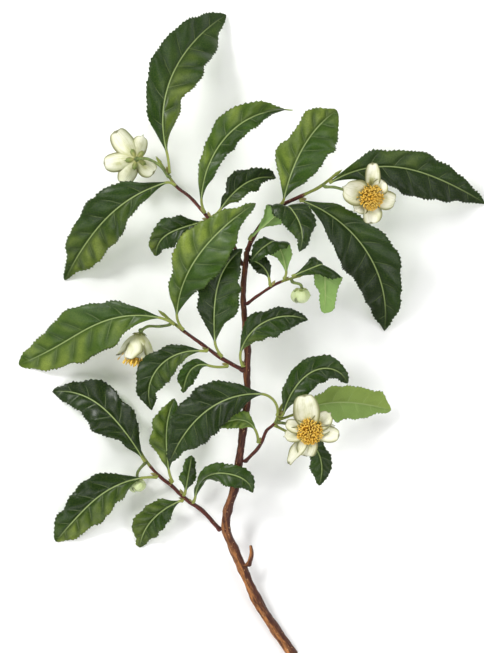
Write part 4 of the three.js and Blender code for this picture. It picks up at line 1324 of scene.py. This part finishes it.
def petal_mesh(name, petal, thickness, seed, frame_at, notch=0.0, curl=0.0, steps=26, half=10,
               cup=PETAL_CUP, twisting=0.0):
    """A petal that stands out from a bloom's +Z and opens from one angle off it to another."""
    turn, size, width, open_from, open_to = petal
    draw = random.Random(seed)
    lag = draw.uniform(0, 6.28)
    most = PETAL_TWIST if width < SLENDER * size else BROAD_TWIST
    twist = math.radians(draw.uniform(-1, 1) * most) * twisting
    out, across = aim(turn, 0), aim(turn + 90, 0)
    centre = out * PETAL_FOOT
    side, _, lens = lens_section(np.sin(np.linspace(-math.pi / 2, math.pi / 2, 2 * half + 1)))
    wide = np.abs(side)
    rings, values = [], dict(share=[], along=[], petal=[])
    for i in range(steps + 1):
        t = i / steps
        opened = math.radians(lerp(open_from, open_to, t) + curl * PETAL_CURL * smooth(0.72, 1.0, t))
        forward = out * math.sin(opened) + UP * math.cos(opened)
        inward = np.cross(forward, across)
        spun = twist * float(smooth(0.25, 1.0, t))
        sideways = across * math.cos(spun) + inward * math.sin(spun)
        inward = inward * math.cos(spun) - across * math.sin(spun)
        if i:
            centre = centre + forward * size / steps
        reach = width / 2 * max(petal_width(t), 0.04)
        ruffle = PETAL_RUFFLE * smooth(0.4, 1.0, wide) * math.sin(9 * t + lag) * smooth(0.2, 0.6, t)
        ruffle = ruffle * np.where(side < 0, 1, -0.7)
        hollow = cup * reach * side ** 2 * (1 - 0.55 * smooth(0.6, 1.0, t))
        fold = 0.35 * np.exp(-(side / 0.16) ** 2) * smooth(0, 0.3, t) * smooth(1.0, 0.7, t)
        thick = lerp(thickness * 1.7, thickness, smooth(0, 0.4, t)) * (0.35 if i == steps else 1)
        dent = notch * PETAL_DENT * np.exp(-(side / 0.3) ** 2) * smooth(0.86, 1.0, t)
        rings.append(centre + np.outer(side * reach, sideways) - np.outer(dent, forward)
                     + np.outer(lens * thick / 2 + hollow + ruffle - fold, inward))
        values["share"].append(side)
        values["along"].append(np.full(len(side), t))
        values["petal"].append(np.full(len(side), lag))
    turned_to, where = frame_at
    return ring_mesh(name, [ring @ turned_to.T + where for ring in rings], values, 2 * half)


def sepal_meshes(name, first_turn, form, seed, frame_at, notch):
    """A ring of sepals, each of the form (length, width, opens from, opens to)."""
    return [petal_mesh(f"{name}_s{i}", (first_turn + 360 / SEPALS * i, *form), SEPAL_THICK,
                       seed + i, frame_at, notch=notch, steps=12, half=6)
            for i in range(SEPALS)]


def finish_stalk(name, form, material):
    """A slim flower stalk from its limb to its bloom, swollen where the petals stand on it."""
    limb = LIMBS[form["limb"]]
    heading, climb = form["leaves"]
    start, aside = limb.foot(form["node"], heading, climb, PEDICEL_RADIUS)
    leaving = start + aim(heading, climb) * PEDICEL_RADIUS
    slim = PEDICEL_RADIUS * PEDICEL_SLIM
    stalk = Limb((tuple(start), tuple(leaving)) + form["path"], slim, slim)
    rings, values = tube_rings(stalk, *STALK_FORM, (start, aside))
    for ring, swell in zip(rings[::-1], RECEPTACLE):
        middle = ring.mean(0)
        ring[:] = middle + (ring - middle) * swell
    name += "_stalk"
    finish_piece(place(name, ring_mesh(name, rings, values)), "bud", material=material)


def stamen_brush(name, form, s, material, seed, frame_at):
    """A brush of stamens: one curved stamen set on each point of a cushion."""
    count, length_mm, spread = form
    radius, head, reach = s.filament_radius, s.anther_size, length_mm * MM
    model = lathe(name, (
        (0.0, radius * 1.2), (reach * 0.35, radius), (reach * 0.7, radius),
        (reach * 0.93, radius * 0.9), (reach * 0.95, head * 0.7), (reach * 0.98, head),
        (reach * 1.03, head * 0.95), (reach * 1.07, head * 0.35)), 6, bend=-0.10 / reach)
    wide, high, fall = CUSHION
    golden = math.pi * (3 - math.sqrt(5))
    draw = random.Random(seed)
    points, ways = [], []
    for i in range(count):
        share = math.sqrt((i + 0.5) / count)
        x, y = math.cos(i * golden), math.sin(i * golden)
        points.append((x * share * wide, y * share * wide, high - fall * share))
        tilt = spread * share * 1.12 + draw.uniform(-0.07, 0.07)
        ways.append((math.sin(tilt) * x, math.sin(tilt) * y, math.cos(tilt)))
    mesh = planted(name, model, points, ways, material, Size=0.98, Vary=0.12, Seed=seed)
    turned_to, where = frame_at
    matrix = np.eye(4)
    matrix[:3, :3] = turned_to
    matrix[:3, 3] = (where - MIDDLE) * MM
    mesh.transform(Matrix(matrix.tolist()))
    return mesh


class TEA_OT_blooms(bpy.types.Operator):
    """The blooms: cupped petals, a brush of stamens, sepals and a flower stalk each"""

    bl_idname = "tea.blooms"
    bl_label = "Blooms"

    def execute(self, context):
        s = context.scene.tea_bloom
        petal = petal_finish("petal", tuple(s.petal), tuple(s.petal_shade), 0.15)
        sepal = petal_finish("sepal", tuple(s.sepal), (0.36, 0.34, 0.10), 0.0)
        stalk = stalk_finish("flower_stalk", tuple(s.sepal), (0.42, 0.44, 0.14))
        gold = speck_finish("stamen", tuple(s.anther), tuple(s.filament), 0.5)
        for index, (name, form) in enumerate(BLOOMS.items()):
            at = bloom_frame(form["at"], *form["faces"])
            petals = [petal_mesh(f"{name}_{i}", leaf, s.petal_thickness / MM, 10 * index + i, at,
                                 cup=0.5, curl=1.6 - 0.9 * (i % 3), twisting=1.0,
                                 notch=PETAL_TIPS[i % len(PETAL_TIPS)])
                      for i, leaf in enumerate(form["petals"])]
            finish_group(name + "_petals", petals, "petal", name, material=petal)
            sepals = sepal_meshes(name, 28, (*form["sepals"], 98, 74), 90, at, -1.4)
            finish_group(name + "_sepals", sepals, "bud", material=sepal)
            finish_stalk(name, form, stalk)
            brush = stamen_brush(name + "_stamens", form["stamens"], s, gold, 40 + index, at)
            finish_piece(place(name + "_stamens", brush), "petal")
        return {"FINISHED"}


class TEA_OT_buds(bpy.types.Operator):
    """The closed buds: petals that overlap in a ball, on a cup of sepals"""

    bl_idname = "tea.buds"
    bl_label = "Buds"

    def execute(self, context):
        s = context.scene.tea_bloom
        skin = petal_finish("bud_petal", tuple(s.bud), (0.42, 0.50, 0.20), 0.1)
        sepal = petal_finish("bud_sepal", tuple(s.sepal), (0.40, 0.42, 0.14), 0.0)
        stalk = stalk_finish("bud_stalk", tuple(s.sepal), (0.42, 0.44, 0.14))
        for name, form in BUDS.items():
            radius = form["radius"]
            turn, where = bloom_frame(form["at"], *form["faces"])
            foot = where - turn[:, 2] * radius * 0.95
            petals = []
            for layer, share in enumerate((0.93, 1.0)):
                size = radius * BUD_SLIM
                petals += [petal_mesh(
                    f"{name}_{layer}{i}",
                    (120 * i + 60 * layer, size * 2.55 * share, size * 2.3 * share, 96, -78), 0.7,
                    60 + 7 * layer + i, (turn, foot), cup=0.55) for i in range(3)]
            finish_group(name + "_petals", petals, "bud", name, material=skin)
            sepals = sepal_meshes(name, 0, (radius * 0.62, radius * 0.62, 100, 40), 80,
                                  (turn, foot - turn[:, 2] * 0.5), 0.0)
            finish_group(name + "_sepals", sepals, "bud", material=sepal)
            finish_stalk(name, form, stalk)
        return {"FINISHED"}


# ---------------------------------------------------------------- stage

# sizes in metres, angles in degrees
TABLE_HALF = 3.0
LOOKED_AT = 0.045  # height of the point that the camera and the key light look at
SENSOR = 36
CAMERA_FAR = 50
KEY_AT = (-0.95, 0.75, 1.15)
KEY_TURN = 142
KEY_SIZE = 0.42
FILL_ANGLE = 26  # how wide each fill light looks from the table
FILL_RISE = 0.88


def set_up(name, data):
    thing = bpy.data.objects.new(name, data)
    bpy.context.scene.collection.objects.link(thing)
    return thing


def look(thing, way):
    thing.rotation_euler = Vector(way).to_track_quat("-Z", "Y").to_euler()


def key_lamp(name, power, target):
    light = bpy.data.lights.new(name, "AREA")
    light.shape = "DISK"
    light.size = KEY_SIZE
    light.energy = power
    thing = set_up(name, light)
    thing.location = KEY_AT
    look(thing, Vector(target) - Vector(KEY_AT))


def distant_lamp(name, strength, from_way):
    """A soft light so far off that it falls evenly on the whole table."""
    light = bpy.data.lights.new(name, "SUN")
    light.energy = strength
    light.angle = math.radians(FILL_ANGLE)
    look(set_up(name, light), -Vector(from_way))


class TEA_OT_stage(bpy.types.Operator):
    """A plain pale table, soft studio light, and a camera that looks straight down"""

    bl_idname = "tea.stage"
    bl_label = "Stage"

    def execute(self, context):
        s = context.scene.tea_stage
        mesh = bpy.data.meshes.new("table")
        corners = ((-1, -1), (1, -1), (1, 1), (-1, 1))
        mesh.from_pydata([(x * TABLE_HALF, y * TABLE_HALF, 0) for x, y in corners], [],
                         [(0, 1, 2, 3)])
        mesh.materials.append(table_finish("table", tuple(s.floor)))
        place("table", mesh)

        middle = (-MIDDLE[0] * MM, -MIDDLE[1] * MM, LOOKED_AT)
        key_lamp("key", s.key, middle)
        for i in range(s.fills):
            turn = math.radians(KEY_TURN + 360 * (i + 1) / (s.fills + 1))
            distant_lamp(f"fill_{i}", s.fill, (math.cos(turn), math.sin(turn), FILL_RISE))
        world = bpy.data.worlds.new("room")
        world.use_nodes = True
        room = world.node_tree.nodes["Background"].inputs
        room["Color"].default_value = (1, 1, 1, 1)
        room["Strength"].default_value = s.sky
        context.scene.world = world

        camera = bpy.data.cameras.new("camera")
        camera.lens = s.lens
        camera.sensor_width = SENSOR
        camera.clip_end = CAMERA_FAR
        thing = set_up("camera", camera)
        thing.location = (*middle[:2], LOOKED_AT + s.view_height * s.lens / SENSOR)
        context.scene.camera = thing
        context.scene.view_settings.view_transform = "Standard"
        return {"FINISHED"}


# ---------------------------------------------------------------- panel and registration


class TEA_PT_branch(bpy.types.Panel):
    """Sizes and colours of the tea branch"""

    bl_label = "Tea Branch"
    bl_idname = "TEA_PT_branch"
    bl_space_type = "VIEW_3D"
    bl_region_type = "UI"
    bl_category = "Tea Branch"

    def draw(self, context):
        for group, operators in (
                ("tea_wood", ("tea.wood",)), ("tea_leaf", ("tea.leaves",)),
                ("tea_bloom", ("tea.blooms", "tea.buds")), ("tea_stage", ("tea.stage",))):
            box = self.layout.box()
            settings = getattr(context.scene, group)
            for key in type(settings).__annotations__:
                box.prop(settings, key)
            for operator in operators:
                box.operator(operator)


CLASSES = (
    WoodSettings, LeafSettings, BloomSettings, StageSettings,
    TEA_OT_wood, TEA_OT_leaves, TEA_OT_blooms, TEA_OT_buds, TEA_OT_stage, TEA_PT_branch,
)
GROUPS = {"tea_wood": WoodSettings, "tea_leaf": LeafSettings, "tea_bloom": BloomSettings,
          "tea_stage": StageSettings}


def register():
    for item in CLASSES:
        bpy.utils.register_class(item)
    for key, group in GROUPS.items():
        setattr(bpy.types.Scene, key, bpy.props.PointerProperty(type=group))


def unregister():
    for key in GROUPS:
        delattr(bpy.types.Scene, key)
    for item in reversed(CLASSES):
        bpy.utils.unregister_class(item)


def main():
    register()
    bpy.ops.tea.wood()
    bpy.ops.tea.leaves()
    bpy.ops.tea.blooms()
    bpy.ops.tea.buds()
    bpy.ops.tea.stage()


if __name__ == "__main__":
    main()
